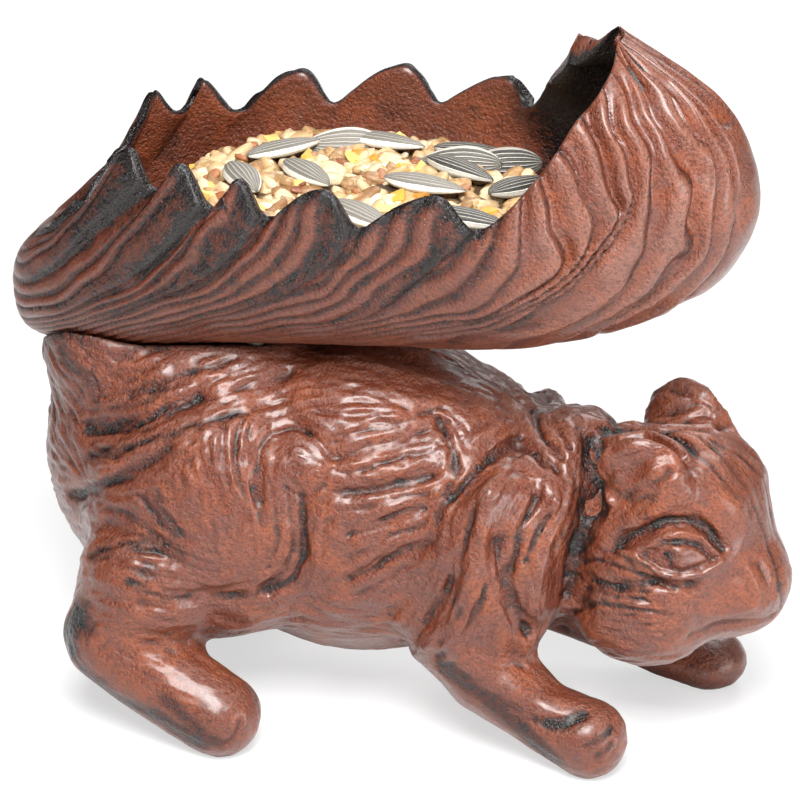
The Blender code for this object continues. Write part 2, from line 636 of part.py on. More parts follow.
def pan_screw(length):
    """A screw with a rounded head above height 0 and its shank below."""
    crown = TRAY_SCREW_HEAD_HEIGHT
    profile = [(0, crown), (TRAY_SCREW_HEAD_RADIUS * 0.6, crown * 0.93), (TRAY_SCREW_HEAD_RADIUS * 0.92, crown * 0.6),
               (TRAY_SCREW_HEAD_RADIUS, crown * 0.2), (TRAY_SCREW_HEAD_RADIUS, 0), (TRAY_SCREW_RADIUS, 0),
               (TRAY_SCREW_RADIUS, -length), (0, -length)]
    mesh = turned(profile)
    mesh.transform(Matrix.Translation((0, 0, -crown)))
    mesh = slotted(mesh, TRAY_SCREW_HEAD_RADIUS)
    mesh.transform(Matrix.Translation((0, 0, crown)))
    return mesh


def washer():
    inner = TRAY_SCREW_RADIUS + SEAT_GAP
    ring = rod_mesh((0, 0, 0), (0, 0, WASHER_THICKNESS), WASHER_RADIUS)
    return combine(ring, rod_mesh((0, 0, -1), (0, 0, 1), inner), "DIFFERENCE")


def tray_screw_floor(tray, side):
    """Where the tray's floor lies under the middle of a tray screw."""
    above = (TRAY_SCREW_X, side * TRAY_SCREW_Y, BED_TOP)
    return surface_hit(tray, above, (0, 0, -1))


def drilled_tray(tray, floors):
    """The tray with a raised flat pad, a spot face and a hole for each screw."""
    for floor in floors:
        pad_top = floor + Vector((0, 0, TRAY_PAD_RISE))
        tray = combine(tray, rod_mesh(floor - Vector((0, 0, TRAY_WALL / 2)), pad_top, TRAY_PAD_RADIUS), "UNION")
        spot = rod_mesh(pad_top, pad_top + Vector((0, 0, TRAY_WALL)), WASHER_RADIUS + SPOT_MARGIN)
        tray = combine(tray, spot, "DIFFERENCE")
        hole = rod_mesh(pad_top - Vector((0, 0, 3 * TRAY_WALL)), pad_top + Vector((0, 0, TRAY_WALL)),
                        TRAY_SCREW_RADIUS + SEAT_GAP)
        tray = combine(tray, hole, "DIFFERENCE")
    return tray


def tray_screw_end(floor):
    """The height of a tray screw's lower end."""
    return floor.z - TRAY_WALL - SEAT_GAP - TRAY_SCREW_GRIP


def whole_body(floors):
    """The hollow casting before it is split: saddle, cavity, pillars for the screws and ground soles."""
    hollow = combine(body_hollow(), tray_envelope(-(SEAT_GAP + BODY_WALL), SADDLE_LID), "DIFFERENCE")
    for x, z in BODY_SCREW_PLACES.values():
        pillar = rod_mesh((x, -BODY_REACH, z), (x, BODY_REACH, z), BODY_SCREW_RADIUS + SEAT_GAP + BOSS_WALL)
        hollow = combine(hollow, pillar, "DIFFERENCE")
    for floor in floors:
        foot = Vector((floor.x, floor.y, tray_screw_end(floor) - BLIND_END - BOSS_WALL))
        boss = rod_mesh(foot, floor, TRAY_SCREW_RADIUS + SEAT_GAP + BOSS_WALL)
        hollow = combine(hollow, boss, "DIFFERENCE")
    body = combine(outer_body(), tray_envelope(-SEAT_GAP, SADDLE_LID), "DIFFERENCE")
    body = combine(body, box_mesh((-BODY_REACH * 2, -BODY_REACH, -BODY_REACH), (BODY_REACH * 2, BODY_REACH, 0)),
                   "DIFFERENCE")
    return combine(body, hollow, "DIFFERENCE")


def drill_tray_holes(half, floor):
    """A blind hole down into a half for its tray screw."""
    bottom = Vector((floor.x, floor.y, tray_screw_end(floor) - BLIND_END))
    return combine(half, rod_mesh(bottom, floor, TRAY_SCREW_RADIUS + SEAT_GAP), "DIFFERENCE")


def body_screw_head(body, place):
    """Where the flat of a body screw's head lies, just under the left side's skin."""
    x, z = place
    hit = surface_hit(body, (x, BODY_REACH, z), (0, -1, 0))
    return Vector((x, hit.y - BODY_SCREW_HEAD_SINK, z))


def drill_right(half, place):
    """A blind hole from the joint into the right half."""
    x, z = place
    rod = rod_mesh((x, -BODY_SCREW_GRIP - BLIND_END, z), (x, BLIND_END, z), BODY_SCREW_RADIUS + SEAT_GAP)
    return combine(half, rod, "DIFFERENCE")


def drill_left(half, head):
    """A through hole and a countersink in the left half, cut by one turned tool."""
    hole_radius = BODY_SCREW_RADIUS + SEAT_GAP
    mouth_radius = BODY_SCREW_HEAD_RADIUS + SEAT_GAP
    through = head.y + BLIND_END
    tool = turned([(0, BODY_REACH), (mouth_radius, BODY_REACH), (mouth_radius, 0),
                   (hole_radius, hole_radius - mouth_radius), (hole_radius, -through), (0, -through)])
    tool.transform(Matrix.Translation(head) @ Vector((0, 1, 0)).to_track_quat("Z", "X").to_matrix().to_4x4())
    return combine(half, tool, "DIFFERENCE")


def lift_path():
    """The way straight up out of the tray, between the inner edges of its two rims."""
    skin = tray_skin(TRAY_WALL + LIFT_CLEARANCE)[:, :, :2]
    open_rings = skin[skin[:, -1, 1] - skin[:, 0, 1] > LIFT_LEAST_WIDTH]
    outline = [tuple(ring[0]) for ring in open_rings] + [tuple(ring[-1]) for ring in open_rings[::-1]]
    return outline_solid(outline, BED_TOP / 2, BED_TOP * 2)


def grain_bed(floors):
    """The heap of small grain: a crowned mound inside the tray, clear of its screws and free to lift out."""
    long_half, wide_half = BED_HALF_SIZES
    steps = 8
    profile = [(BED_SHOULDER * step / steps, BED_TOP + BED_CROWN * (1 - (step / steps) ** 2))
               for step in range(steps + 1)]
    profile += [(1, BED_TOP - BED_FALL), (1, BED_TOP / 2), (0, BED_TOP / 2)]
    mound = turned(profile)
    centre = Matrix.Translation((*BED_CENTRE, 0))
    mound.transform(centre @ Matrix.Diagonal((long_half, wide_half, 1, 1)))
    bed = combine(mound, tray_envelope(TRAY_WALL + SEAT_GAP, toothed=True), "INTERSECT")
    bed = combine(bed, lift_path(), "INTERSECT")
    for floor in floors:
        top = floor + Vector((0, 0, TRAY_PAD_RISE + WASHER_THICKNESS + TRAY_SCREW_HEAD_HEIGHT + 4 * SEAT_GAP))
        pocket = rod_mesh(floor - Vector((0, 0, TRAY_WALL)), top, TRAY_PAD_RADIUS + SPOT_MARGIN)
        bed = combine(bed, pocket, "DIFFERENCE")
    return bed


def sunflower_seed():
    """A flat seed, blunt at one end and pointed at the other."""
    bm = bmesh.new()
    size = Matrix.Diagonal((SEED_LENGTH / 2, SEED_WIDTH / 2, SEED_THICKNESS / 2, 1))
    bmesh.ops.create_uvsphere(bm, u_segments=8, v_segments=8, radius=1,
                              matrix=size @ Matrix.Rotation(math.radians(90), 4, "Y"))
    for vert in bm.verts:
        narrowing = 1 - SEED_POINT * vert.co.x / (SEED_LENGTH / 2)
        vert.co.y *= narrowing
        vert.co.z *= narrowing
    return mesh_from(bm, "sunflower_seed")


def lay_seeds(bed_mesh, parent, base, material):
    """Each seed lies on the bed's top, tilted with it."""
    bm = bmesh.new()
    bm.from_mesh(bed_mesh)
    surface = BVHTree.FromBMesh(bm)
    bm.free()
    lift = SEED_THICKNESS * (1 + SEED_POINT) / 2 + SEAT_GAP
    for number, (x, y, yaw) in enumerate(SEEDS, 1):
        spot, up, _, _ = surface.ray_cast(Vector((x, y, 2 * BED_TOP)), Vector((0, 0, -1)))
        turn = Vector((0, 0, 1)).rotation_difference(up) @ Quaternion((0, 0, 1), math.radians(yaw))
        add_part(f"sunflower_seed_{number:02d}", sunflower_seed(), material, parent, spot + up * lift - base, turn)


def centre_feeder(root):
    """Moves everything so that the origin is under the middle of the feeder."""
    bpy.context.view_layer.update()
    corners = [part.matrix_world @ Vector(corner) for part in cast_collection.objects if part.type == "MESH"
               for corner in part.bound_box]
    for axis in (0, 1):
        values = [corner[axis] for corner in corners]
        root.location[axis] -= (min(values) + max(values)) / 2


def build():
    start_scene()
    iron = [finish(name, (0.17, 0.07, 0.045), 0.45, 0.5) for name in ("right_iron", "left_iron", "tray_iron")]
    steel = finish("screw_steel", (0.32, 0.31, 0.30), 0.35, 1.0)
    husk = finish("seed_husk", (0.25, 0.24, 0.23), 0.6, 0.0)
    grain = finish("grain", (0.62, 0.42, 0.20), 0.6, 0.0)

    root = bpy.data.objects.new("feeder", None)
    cast_collection.objects.link(root)
    feed = bpy.data.objects.new("feed", None)
    feed.parent = root
    feed.location = (*BED_CENTRE, BED_TOP)
    cast_collection.objects.link(feed)

    tray = tray_shell()
    floors = [tray_screw_floor(tray, side) for side in (-1, 1)]
    add_part("tail_tray", drilled_tray(tray, floors), iron[2], root)

    body = whole_body(floors)
    heads = {name: body_screw_head(body, place) for name, place in BODY_SCREW_PLACES.items()}
    right = drill_tray_holes(combine(body.copy(), half_space(1), "DIFFERENCE"), floors[0])
    left = drill_tray_holes(combine(body, half_space(-1), "DIFFERENCE"), floors[1])
    for name, place in BODY_SCREW_PLACES.items():
        right = drill_right(right, place)
        left = drill_left(left, heads[name])
        screw = countersunk_screw(heads[name].y + BODY_SCREW_GRIP)
        add_part(f"{name}_body_screw", screw, steel, root, heads[name],
                 Vector((0, 1, 0)).to_track_quat("Z", "X"))
    add_part("right_body_half", right, iron[0], root)
    add_part("left_body_half", left, iron[1], root)

    for name, floor in zip(("right", "left"), floors):
        seat = floor + Vector((0, 0, TRAY_PAD_RISE + SEAT_GAP))
        add_part(f"{name}_tray_washer", washer(), steel, root, seat)
        under_head = seat + Vector((0, 0, WASHER_THICKNESS + SEAT_GAP))
        add_part(f"{name}_tray_screw", pan_screw(under_head.z - tray_screw_end(floor)), steel, root, under_head)

    bed = grain_bed(floors)
    lay_seeds(bed, feed, feed.location, husk)
    bed.transform(Matrix.Translation(-feed.location))
    add_part("grain_bed", bed, grain, feed)
    centre_feeder(root)


build()
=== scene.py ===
"""The looks of a cast-iron squirrel feeder.

Three castings in rust-brown iron with black left in their hollows: the squirrel's two body halves, and its
tail, which arches over the back as a seed tray. In the tray lie wheat, cracked maize and striped sunflower
seeds. Shapes are worked out in millimetres, in the frame's own axes: +X to the nose, the squirrel's right
side at -Y.
"""

import math

import bmesh
import bpy
import numpy as np
from mathutils import Matrix, Vector
from mathutils.bvhtree import BVHTree


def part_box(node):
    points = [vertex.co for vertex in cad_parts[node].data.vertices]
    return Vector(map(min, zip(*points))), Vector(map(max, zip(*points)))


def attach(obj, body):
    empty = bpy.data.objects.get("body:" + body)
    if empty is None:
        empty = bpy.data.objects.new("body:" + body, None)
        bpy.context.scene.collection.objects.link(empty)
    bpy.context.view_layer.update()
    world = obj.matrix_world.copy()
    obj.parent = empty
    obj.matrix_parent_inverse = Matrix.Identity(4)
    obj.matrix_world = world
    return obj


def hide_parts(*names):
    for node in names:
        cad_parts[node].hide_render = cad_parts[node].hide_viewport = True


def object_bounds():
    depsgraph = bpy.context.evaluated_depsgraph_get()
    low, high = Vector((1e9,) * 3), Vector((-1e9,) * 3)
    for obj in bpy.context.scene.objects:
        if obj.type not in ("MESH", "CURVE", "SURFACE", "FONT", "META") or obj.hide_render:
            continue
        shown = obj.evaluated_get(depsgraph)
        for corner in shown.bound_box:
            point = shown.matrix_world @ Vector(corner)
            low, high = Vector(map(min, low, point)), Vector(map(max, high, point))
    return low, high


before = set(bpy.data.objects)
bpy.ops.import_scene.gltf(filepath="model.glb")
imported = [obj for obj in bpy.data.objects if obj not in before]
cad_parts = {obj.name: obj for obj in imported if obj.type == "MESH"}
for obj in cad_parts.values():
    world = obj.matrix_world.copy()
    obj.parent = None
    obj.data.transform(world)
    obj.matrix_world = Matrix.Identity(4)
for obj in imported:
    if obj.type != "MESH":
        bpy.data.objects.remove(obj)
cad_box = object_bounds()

MM = 0.001

# The view: where the camera stands, what it looks at, and how wide its picture is there.
VIEW_AZIMUTH = math.radians(16)
VIEW_ELEVATION = math.radians(25)
VIEW_DISTANCE = 800
VIEW_TARGET = np.array((0, 0, 66))
VIEW_WIDTH = 163.6
SENSOR = 36
VIEW_BACK = np.array((math.sin(VIEW_AZIMUTH) * math.cos(VIEW_ELEVATION),
                      -math.cos(VIEW_AZIMUTH) * math.cos(VIEW_ELEVATION), math.sin(VIEW_ELEVATION)))
VIEW_RIGHT = np.array((math.cos(VIEW_AZIMUTH), math.sin(VIEW_AZIMUTH), 0))
VIEW_UP = np.cross(VIEW_BACK, VIEW_RIGHT)

# The body's skin.
BODY_GRAIN = 0.48  # spacing of the skin's points
BODY_ROUNDING = 22  # passes that take the flats out of the solid's skin
LABEL_PASSES = 400  # at most this many to part the outer skin from the hollow's
GROOVE_ROUNDING = 4  # passes that round the sooty grooves
GROOVE_SOOT = (0.3, 0.7)  # up to the first, skin isn't rounded as a groove, and from the second on fully
BODY_SWELLS = ((11, 0.25, 5), (5, 0.12, 6))  # the skin's unevenness: cell, height and seed of each noise
HALF_FACES = 190000  # triangles that each half keeps
JOINT_REACH = 0.3  # points this near the joint lie on its faces
JOINT_OVERLAP = 0.3  # how far those are pushed over it
HEAD_PIVOT_X = 43.2
HEAD_TURN = math.radians(-6)
TRAY_CLEAR = 3.0  # within this of the tray the body's relief fades away
TRAY_LEVEL = 62  # all skin below this counts as clear of the tray
FAR_PAW_FLATNESS = 0.25
FAR_RIDGE_LIMIT = 0.4  # no ridge on the far side is higher
FOLD_REACH = 2.6  # how many of its widths away from its line a fold still counts
FOLD_FACING = (-0.1, 0.4)  # how well the skin has to face the fold's own way to get any of it, and all of it

# Sculpted folds, as drawn on the squirrel in the camera's view: width, height (below zero is a groove), how
# much black stays in it, which in the gap behind the ear and under the legs is partly painted shade, and the
# points of its line, in millimetres to the right of the view's middle and above it.
EYE_FOLDS = (
    (3.2, 0.9, 0.0, ((56.6, -32.1),)),
    (1.1, -0.95, 0.42, ((44.0, -30.1), (49.1, -26.8), (54.2, -24.7), (59.3, -24.5), (63.4, -26.8),
                        (65.6, -30.3))),
    (0.75, 0.9, 0.0, ((48.3, -30.9), (52.8, -28.4), (57.3, -27.4), (61.3, -28.2), (64.6, -31.3))),
    (0.45, -1.0, 0.55, ((49.7, -31.7), (53.2, -29.7), (57.3, -28.8), (60.9, -29.7), (63.6, -32.1))),
    (1.3, -1.0, 0.7, ((55.0, -32.3), (55.8, -33.1))),
    (0.5, -0.8, 0.25, ((50.1, -32.5), (53.6, -34.4), (57.9, -35.0), (62.0, -33.7), (64.6, -32.5))),
    (0.7, 1.0, 0.0, ((44.4, -30.9), (49.5, -32.9), (53.2, -35.2), (57.3, -36.2), (62.0, -35.4),
                     (65.8, -33.1))),
    (1.0, -0.6, 0.15, ((46.6, -33.1), (51.1, -36.4), (56.2, -38.4), (60.9, -37.8))),
    (2.8, 0.3, 0.0, ((51.5, -22.3), (55.6, -19.2), (60.3, -17.6), (65.0, -18.6), (68.7, -21.5))),
    (1.8, 0.7, 0.0, ((49.1, -37.8), (54.2, -39.3), (59.3, -40.1))),
)
HEAD_FOLDS = (
    (0.8, -0.3, 0.5, ((58.9, -4.7), (63.8, -9.6), (68.9, -15.1), (72.2, -21.1), (74.6, -27.6),
                      (76.3, -32.7), (77.5, -38.4), (77.9, -42.1))),
    (1.3, -0.36, 0.3, ((49.1, -4.9), (54.2, -6.5), (59.3, -10.2), (63.8, -13.9), (68.5, -18.8),
                       (71.6, -22.5))),
    (1.3, -1.3, 0.85, ((41.7, -5.7), (47.0, -5.5), (52.1, -6.1), (56.4, -7.8), (59.7, -10.4))),
    (1.3, 1.6, 0, ((43.4, -20.4), (41.9, -16.4), (42.5, -11.2), (45.2, -8.2), (50.7, -7.0),
                   (55.6, -9.0), (58.5, -11.7))),
    (3.0, -1.1, 0, ((46.6, -13.9), (50.1, -11.7), (54.0, -11.2))),
    (1.3, 0.4, 0, ((49.1, -17.8), (52.1, -15.1), (58.1, -12.5))),
    (1.4, -0.5, 0.17, ((47.4, -20.4), (50.7, -17.6), (54.8, -14.9), (59.3, -13.7))),
    # The gap behind the near ear: a deep groove and a broad stroke, whose black is partly painted shade, the
    # shadow in that gap.
    (2.4, -2.6, 0.8, ((39.7, -7.8), (40.5, -12.3), (40.7, -17.2), (39.7, -22.1))),
    (4.2, -0.3, 0.55, ((38.4, -7.4), (38.0, -14.3), (37.4, -22.5), (36.0, -30.3))),
    (1.8, -1.4, 0.45, ((38.7, -21.7), (37.4, -27.6), (35.4, -33.7), (33.9, -39.9), (33.3, -47.4))),
    (0.55, -0.68, 0.65, ((35.4, -30.1), (40.9, -30.5), (46.0, -31.9), (50.7, -33.9))),
    (0.55, -0.59, 0.60, ((35.8, -33.1), (40.9, -32.7), (45.4, -34.2), (49.9, -35.8))),
    (0.6, -0.72, 0.68, ((34.8, -36.4), (40.9, -37.4), (46.0, -38.4), (52.1, -37.4))),
    (0.55, -0.68, 0.59, ((34.4, -40.1), (38.4, -38.4), (44.6, -40.5), (50.1, -40.5))),
    (0.55, -0.63, 0.62, ((35.2, -43.8), (40.1, -41.5), (45.8, -42.1), (54.0, -43.4))),
    (0.5, -0.45, 0.45, ((36.8, -47.0), (43.4, -45.0), (51.1, -45.8))),
    (0.45, -0.5, 0.6, ((35.0, -34.8), (40.1, -35.4), (45.4, -36.8), (49.5, -37.0))),
    (0.45, -0.5, 0.6, ((34.8, -38.4), (39.3, -36.8), (45.4, -39.1), (51.1, -39.3))),
    (0.45, -0.5, 0.5, ((35.6, -45.6), (40.9, -43.4), (47.9, -44.2))),
    (5.0, 0, 0.28, ((38.0, -39.3), (43.4, -40.1))),
    (0.9, 0.45, 0, ((35.8, -34.8), (41.3, -35.6), (49.1, -36.8))),
    (0.9, 0.45, 0, ((35.6, -41.9), (40.9, -40.1), (49.1, -42.1))),
    (1.0, -0.35, 0.1, ((73.6, -33.9), (75.1, -36.4), (75.5, -39.3), (74.4, -41.3))),
    (1.2, 0.54, 0, ((71.6, -35.2), (73.0, -38.9), (72.4, -41.7))),
    (0.8, -0.54, 0.17, ((76.1, -44.0), (70.6, -45.2), (64.4, -46.2), (59.7, -47.9))),
    (1, -0.45, 0.09, ((58.9, -37.4), (60.5, -40.9), (61.1, -45.4))),
    (1.6, -0.4, 0.25, ((56.4, 2.5), (59.3, 0.4), (56.4, -2.0))),
)
SHOULDER_FOLDS = (
    (1.7, -0.6, 0.35, ((20.2, -29.7), (21.3, -36.4), (22.9, -41.7), (26.2, -47.4))),
    (1.1, -0.51, 0.42, ((10.6, -19.8), (14.3, -16.0), (17.8, -12.5), (21.5, -9.4), (24.9, -8.4))),
    (2, 0.51, 0, ((17.6, -20.4), (16.0, -27.6), (14.3, -35.8), (13.5, -43.4), (10.6, -49.9))),
    (0.9, -0.59, 0.32, ((15.5, -21.5), (13.5, -27.6), (12.5, -35.8), (10.2, -41.9))),
    (1.8, 0.42, 0, ((18.8, -18.0), (21.7, -12.7), (24.9, -12.3), (29.4, -16.0), (31.9, -20.4))),
    (2, 0.34, 0, ((31.3, -21.5), (30.3, -28.6), (28.6, -36.8), (27.0, -44.0))),
    (0.9, -0.94, 0.42, ((28.0, -20.0), (25.6, -24.5), (23.7, -29.7), (22.7, -34.8))),
    (0.7, -0.59, 0.28, ((30.3, -23.5), (27.8, -27.6), (25.8, -32.7))),
    (1, -0.77, 0.24, ((27.2, -2.5), (29.2, -7.4), (32.7, -11.9))),
    (0.9, -0.68, 0.21, ((30.7, -1.0), (32.3, -5.1), (34.4, -9.4))),
    (1.1, -0.68, 0.32, ((22.9, -7.8), (27.4, -10.6), (31.9, -14.7))),
    (1, -0.42, 0.32, ((0.8, -49.1), (5.1, -45.4), (8.4, -40.9), (10.6, -36.4))),
    (1, -0.51, 0.32, ((2.5, -52.1), (7.6, -49.3), (11.5, -44.6), (13.5, -38.9))),
    (0.8, -0.59, 0.35, ((7.4, -52.8), (11.9, -49.1), (15.1, -44.2), (17.6, -37.8))),
    (1, 0.51, 0, ((5.1, -50.7), (9.6, -46.6), (12.3, -41.7))),
    (1.6, -0.68, 0.24, ((6.1, -28.6), (7.8, -22.5), (9.8, -18.0))),
    (1.3, -0.51, 0.35, ((8.2, -4.1), (10.6, -9.2), (11.2, -14.3))),
)
FLANK_FOLDS = (
    (5.5, 0.17, 0, ((-21.1, -12.7),)),
    (1.1, -0.28, 0.19, ((-29.0, -20.4), (-29.9, -15.3), (-28.6, -10.2), (-25.8, -7.0), (-20.4, -5.9),
                        (-16.0, -8.2), (-13.9, -11.5))),
    (1.1, -0.44, 0.17, ((-13.9, -14.3), (-15.5, -18.4), (-19.2, -19.6), (-23.7, -18.0))),
    (0.99, -0.5, 0.36, ((-20.4, -19.8), (-19.6, -26.6), (-20.2, -32.7), (-22.3, -36.8), (-27.0, -39.5))),
    (0.88, -0.44, 0.25, ((-23.3, -18.4), (-22.1, -24.5), (-21.7, -30.7), (-23.3, -35.2), (-27.8, -38.0))),
    (0.88, -0.39, 0.22, ((-26.2, -17.8), (-25.2, -23.5), (-24.7, -29.7), (-26.6, -34.4))),
    (0.88, -0.39, 0.22, ((-31.3, -6.1), (-30.9, -12.7), (-29.4, -20.0), (-27.8, -25.6))),
    (0.88, -0.39, 0.19, ((-33.5, -5.1), (-33.7, -11.9), (-32.3, -18.4), (-30.7, -23.5))),
    (0.88, -0.33, 0.17, ((-36.0, -5.1), (-36.6, -10.2), (-35.6, -16.4), (-33.9, -20.9))),
    (0.99, -0.44, 0.22, ((-13.5, -8.6), (-7.2, -6.1), (0.0, -4.9), (8.4, -1.6))),
    (0.99, -0.39, 0.19, ((-12.7, -11.7), (-6.5, -9.8), (0.4, -8.2), (7.8, -5.7))),
    (0.99, -0.44, 0.22, ((-12.7, -14.7), (-6.1, -14.1), (1.0, -11.5), (8.6, -9.0))),
    (0.88, -0.44, 0.25, ((-12.3, -18.8), (-6.1, -18.4), (1.0, -16.6), (6.5, -15.5))),
    (0.88, -0.44, 0.25, ((-11.2, -22.9), (-5.7, -21.7), (0.0, -20.0), (5.5, -19.4))),
    (0.88, -0.44, 0.28, ((-10.6, -27.6), (-5.7, -26.2), (-0.4, -22.9), (4.9, -22.1))),
    (0.88, -0.44, 0.25, ((-10.2, -32.3), (-5.7, -30.3), (0.0, -27.0), (4.9, -25.8))),
    (0.88, -0.44, 0.25, ((-9.8, -36.4), (-5.1, -34.4), (0.0, -31.1), (5.5, -29.7))),
    (0.88, -0.39, 0.22, ((-8.6, -40.3), (-4.1, -37.6), (1.4, -33.9))),
    (2.2, 0.28, 0, ((-11.0, -25.2), (-5.7, -23.9), (0.0, -21.5))),
)
HAUNCH_FOLDS = (
    (1.32, -0.44, 0.45, ((-63.8, -6.1), (-58.9, -5.5), (-52.8, -4.7), (-47.4, -2.2), (-41.3, 0.4))),
    (1.32, -0.44, 0.41, ((-64.2, -11.5), (-60.5, -11.0), (-54.8, -9.6), (-48.7, -7.6), (-41.3, -4.9),
                         (-33.1, -2.7))),
    (1.32, -0.44, 0.41, ((-67.1, -20.0), (-63.8, -18.4), (-58.1, -16.4), (-53.0, -13.7), (-47.9, -10.0))),
    (1.1, -0.33, 0.3, ((-55.2, 0.8), (-49.1, 3.1), (-42.5, 5.9), (-35.2, 8.0))),
    (1.1, -0.28, 0.22, ((-42.9, -1.6), (-36.4, 0.8), (-29.7, 3.3), (-22.5, 5.3))),
    (1.1, -0.28, 0.22, ((-59.3, -1.6), (-52.1, 0.4), (-45.4, 3.7))),
    (2.42, -0.17, 0.45, ((-51.9, -20.4), (-49.5, -23.5), (-46.2, -27.2))),
    (2.2, -0.17, 0.45, ((-64.6, -20.4), (-59.3, -22.5), (-54.8, -24.5))),
    (2.2, -0.17, 0.52, ((-62.2, -31.9), (-53.2, -29.7), (-45.0, -30.5))),
    (2.86, -0.11, 0.38, ((-53.2, -34.8), (-45.8, -36.0))),
    (1.32, -0.39, 0.41, ((-55.2, -37.4), (-45.8, -40.5), (-36.4, -40.5), (-28.2, -39.3))),
    (1.54, -0.17, 0.3, ((-69.1, 9.8), (-64.6, 5.3), (-62.2, 0.4))),
)
LEG_FOLDS = (
    (3.6, -0.1, 1.1, ((-67.9, -50.7), (-68.3, -47.4), (-65.8, -44.6))),
    # This stroke and the next lie along the hind leg's lower edge: black mottles, and painted shade on its
    # underside.
    (2.4, -0.1, 0.75, ((-64.6, -55.6), (-57.3, -61.3), (-49.1, -65.0), (-40.9, -69.9))),
    (2.0, 0.0, 0.55, ((-47.9, -61.3), (-42.9, -65.8), (-37.6, -69.9))),
    (1.6, -0.9, 1.1, ((30.3, -66.3), (33.7, -66.3), (37.6, -64.2))),
    (1.2, -0.3, 0.7, ((38.4, -70.6), (41.5, -69.1), (43.4, -67.1))),
    # This stroke and the next lie along the front leg's lower edge: black mottles, and painted shade on its
    # underside.
    (2.6, -0.1, 0.75, ((9.2, -54.8), (16.4, -60.1), (24.5, -67.1), (31.1, -73.2))),
    (1.6, -0.1, 0.6, ((12.7, -57.3), (20.4, -61.3), (28.6, -65.8))),
    (1.0, -0.5, 0.5, ((40.1, -73.2), (42.1, -72.0), (43.6, -70.3))),
    (0.9, -0.4, 0.35, ((-35.6, -70.3), (-33.5, -68.5), (-32.7, -65.8))),
    (2.6, 0.7, 0.0, ((11.2, -52.1), (17.4, -55.6), (23.5, -59.3))),
)
# The lump on the far shoulder that is rounded off.
EASED_LINE = np.array(((24.0, 20.5, 62.0), (27.5, 18.0, 62.0), (31.0, 16.0, 61.0)))
EASED_WIDTH = 5.0
EASED_PASSES = 60
FOLDS_ON_HEAD = (EYE_FOLDS, HEAD_FOLDS)
FOLDS_ON_TRUNK = (SHOULDER_FOLDS, FLANK_FOLDS, HAUNCH_FOLDS, LEG_FOLDS)

# Which way the fur lies where no fold shows it, drawn in the same way.
COMBED = (
    ((18.4, 5.7), (28.6, 0.4), (38.9, -3.7)), ((-4.1, 7.2), (4.1, 4.1), (14.3, 0.0)),
    ((-24.5, 5.7), (-14.3, 5.7), (-4.1, 2.0)),
    ((-69.5, 0.0), (-66.5, -8.2), (-63.4, -16.4)), ((-63.4, -24.5), (-55.2, -32.7), (-45.0, -36.8)),
    ((-45.0, -14.3), (-40.9, -24.5), (-37.8, -34.8)),
    ((-57.3, -53.2), (-49.1, -57.3), (-38.9, -61.3)), ((-22.5, -40.9), (-12.3, -44.0), (-2.0, -45.0)),
    ((14.3, -59.3), (24.5, -64.4), (32.7, -69.5)),
    ((49.1, -42.9), (59.3, -43.4), (67.5, -40.9)), ((61.3, -36.8), (68.5, -32.7), (72.6, -26.6)),
    ((59.3, -20.4), (64.4, -26.6), (67.1, -32.7)),
    ((16.4, -32.7), (16.0, -40.9), (14.3, -49.1)), ((-4.1, 0.0), (4.1, -3.1), (12.3, -7.2)),
    ((-30.7, 10.2), (-20.4, 9.8), (-10.2, 9.0)),
)
FUR_WIDTH = 0.95
FUR_LENGTH = 3.4
FUR_HEIGHT = 0.15
FUR_SAMPLES = 9
LINE_BREAK = 11  # a drawn line whose places on the skin are further apart than this is broken there

# The tail: its keel and two rims, station by station from the back notch to the curled tip.
KEEL = ((-73.5, 0, 99.0), (-81.0, 0, 92.0), (-83.0, 0, 83.0), (-79.0, 0, 74.0), (-62.0, 0, 73.0),
        (-30.0, 0, 78.0), (0.0, 0, 81.0), (28.0, 0, 84.0), (51.8, 0, 91.4), (67.2, 0, 102.5),
        (72.5, 0, 118.0), (65.5, 0, 136.0), (45.0, 0, 149.0))
RIGHT_RIM = ((-72.5, -3.0, 100.0), (-65.0, -13.0, 108.0), (-54.0, -20.5, 115.0), (-42.0, -27.0, 116.0),
             (-27.0, -32.0, 115.5), (-8.0, -34.5, 115.5), (11.0, -34.5, 116.0), (25.0, -33.0, 118.5),
             (35.0, -27.5, 129.0), (40.8, -20.5, 139.0), (44.0, -14.5, 143.5), (44.8, -8.0, 146.5),
             (44.0, -3.0, 150.5))
LEFT_RIM = ((-72.5, 3.0, 100.0), (-67.0, 13.0, 106.5), (-59.0, 21.0, 113.0), (-47.0, 28.0, 114.5),
            (-30.0, 33.0, 115.5), (-9.0, 34.5, 118.0), (9.0, 34.0, 118.0), (19.0, 31.0, 120.0),
            (25.5, 25.0, 131.0), (30.0, 19.0, 138.5), (32.5, 14.5, 143.7), (37.5, 8.0, 145.0),
            (42.5, 3.0, 150.0))
HOOD_START = 6
HOOD_FULL = 10
HOOD_ARC = 125
RIGHT_TEETH = ((-50.5, -45.0), (-37.6, -31.0), (-23.9, -19.0), (-5.4, 0.5), (16.7, 24.3))
LEFT_TEETH = ((-59.1, -56.0), (-50.8, -45.0), (-30.1, -24.0), (-7.6, -1.0), (15.8, 21.0))
FIRST_TOOTH_RUN = 8.0
TOOTH_HEIGHT = 8.5
TIP_ROUNDING = 1.5  # the teeth are rounded over this much to each side
TRAY_WALL = 3.6
TIP_THINNING = 0.86  # the share of the wall that is gone at the tip
HOOD_LIP = 3.0  # how much thicker the hood's edge is
TAIL_RINGS = 340  # steps along the tail; the inner skin has half as many, both ways
TAIL_STEPS = 112  # steps from the keel to one rim
CREST_RISE = 0.4  # how far the rounded edge stands out from the skins
PAD_PLACE = (-28.0, 10.0)
PAD_RADIUS = 6.2
PAD_RISE = 1.2
PAD_EDGE = 0.8  # the pads' edges are rounded over this much to each side
PADS_BELOW = 100  # they are on the bowl's floor, which is lower than this
INNER_SWELLS = ((8, 0.25, 31), (3, 0.10, 32))  # as BODY_SWELLS, for the inside

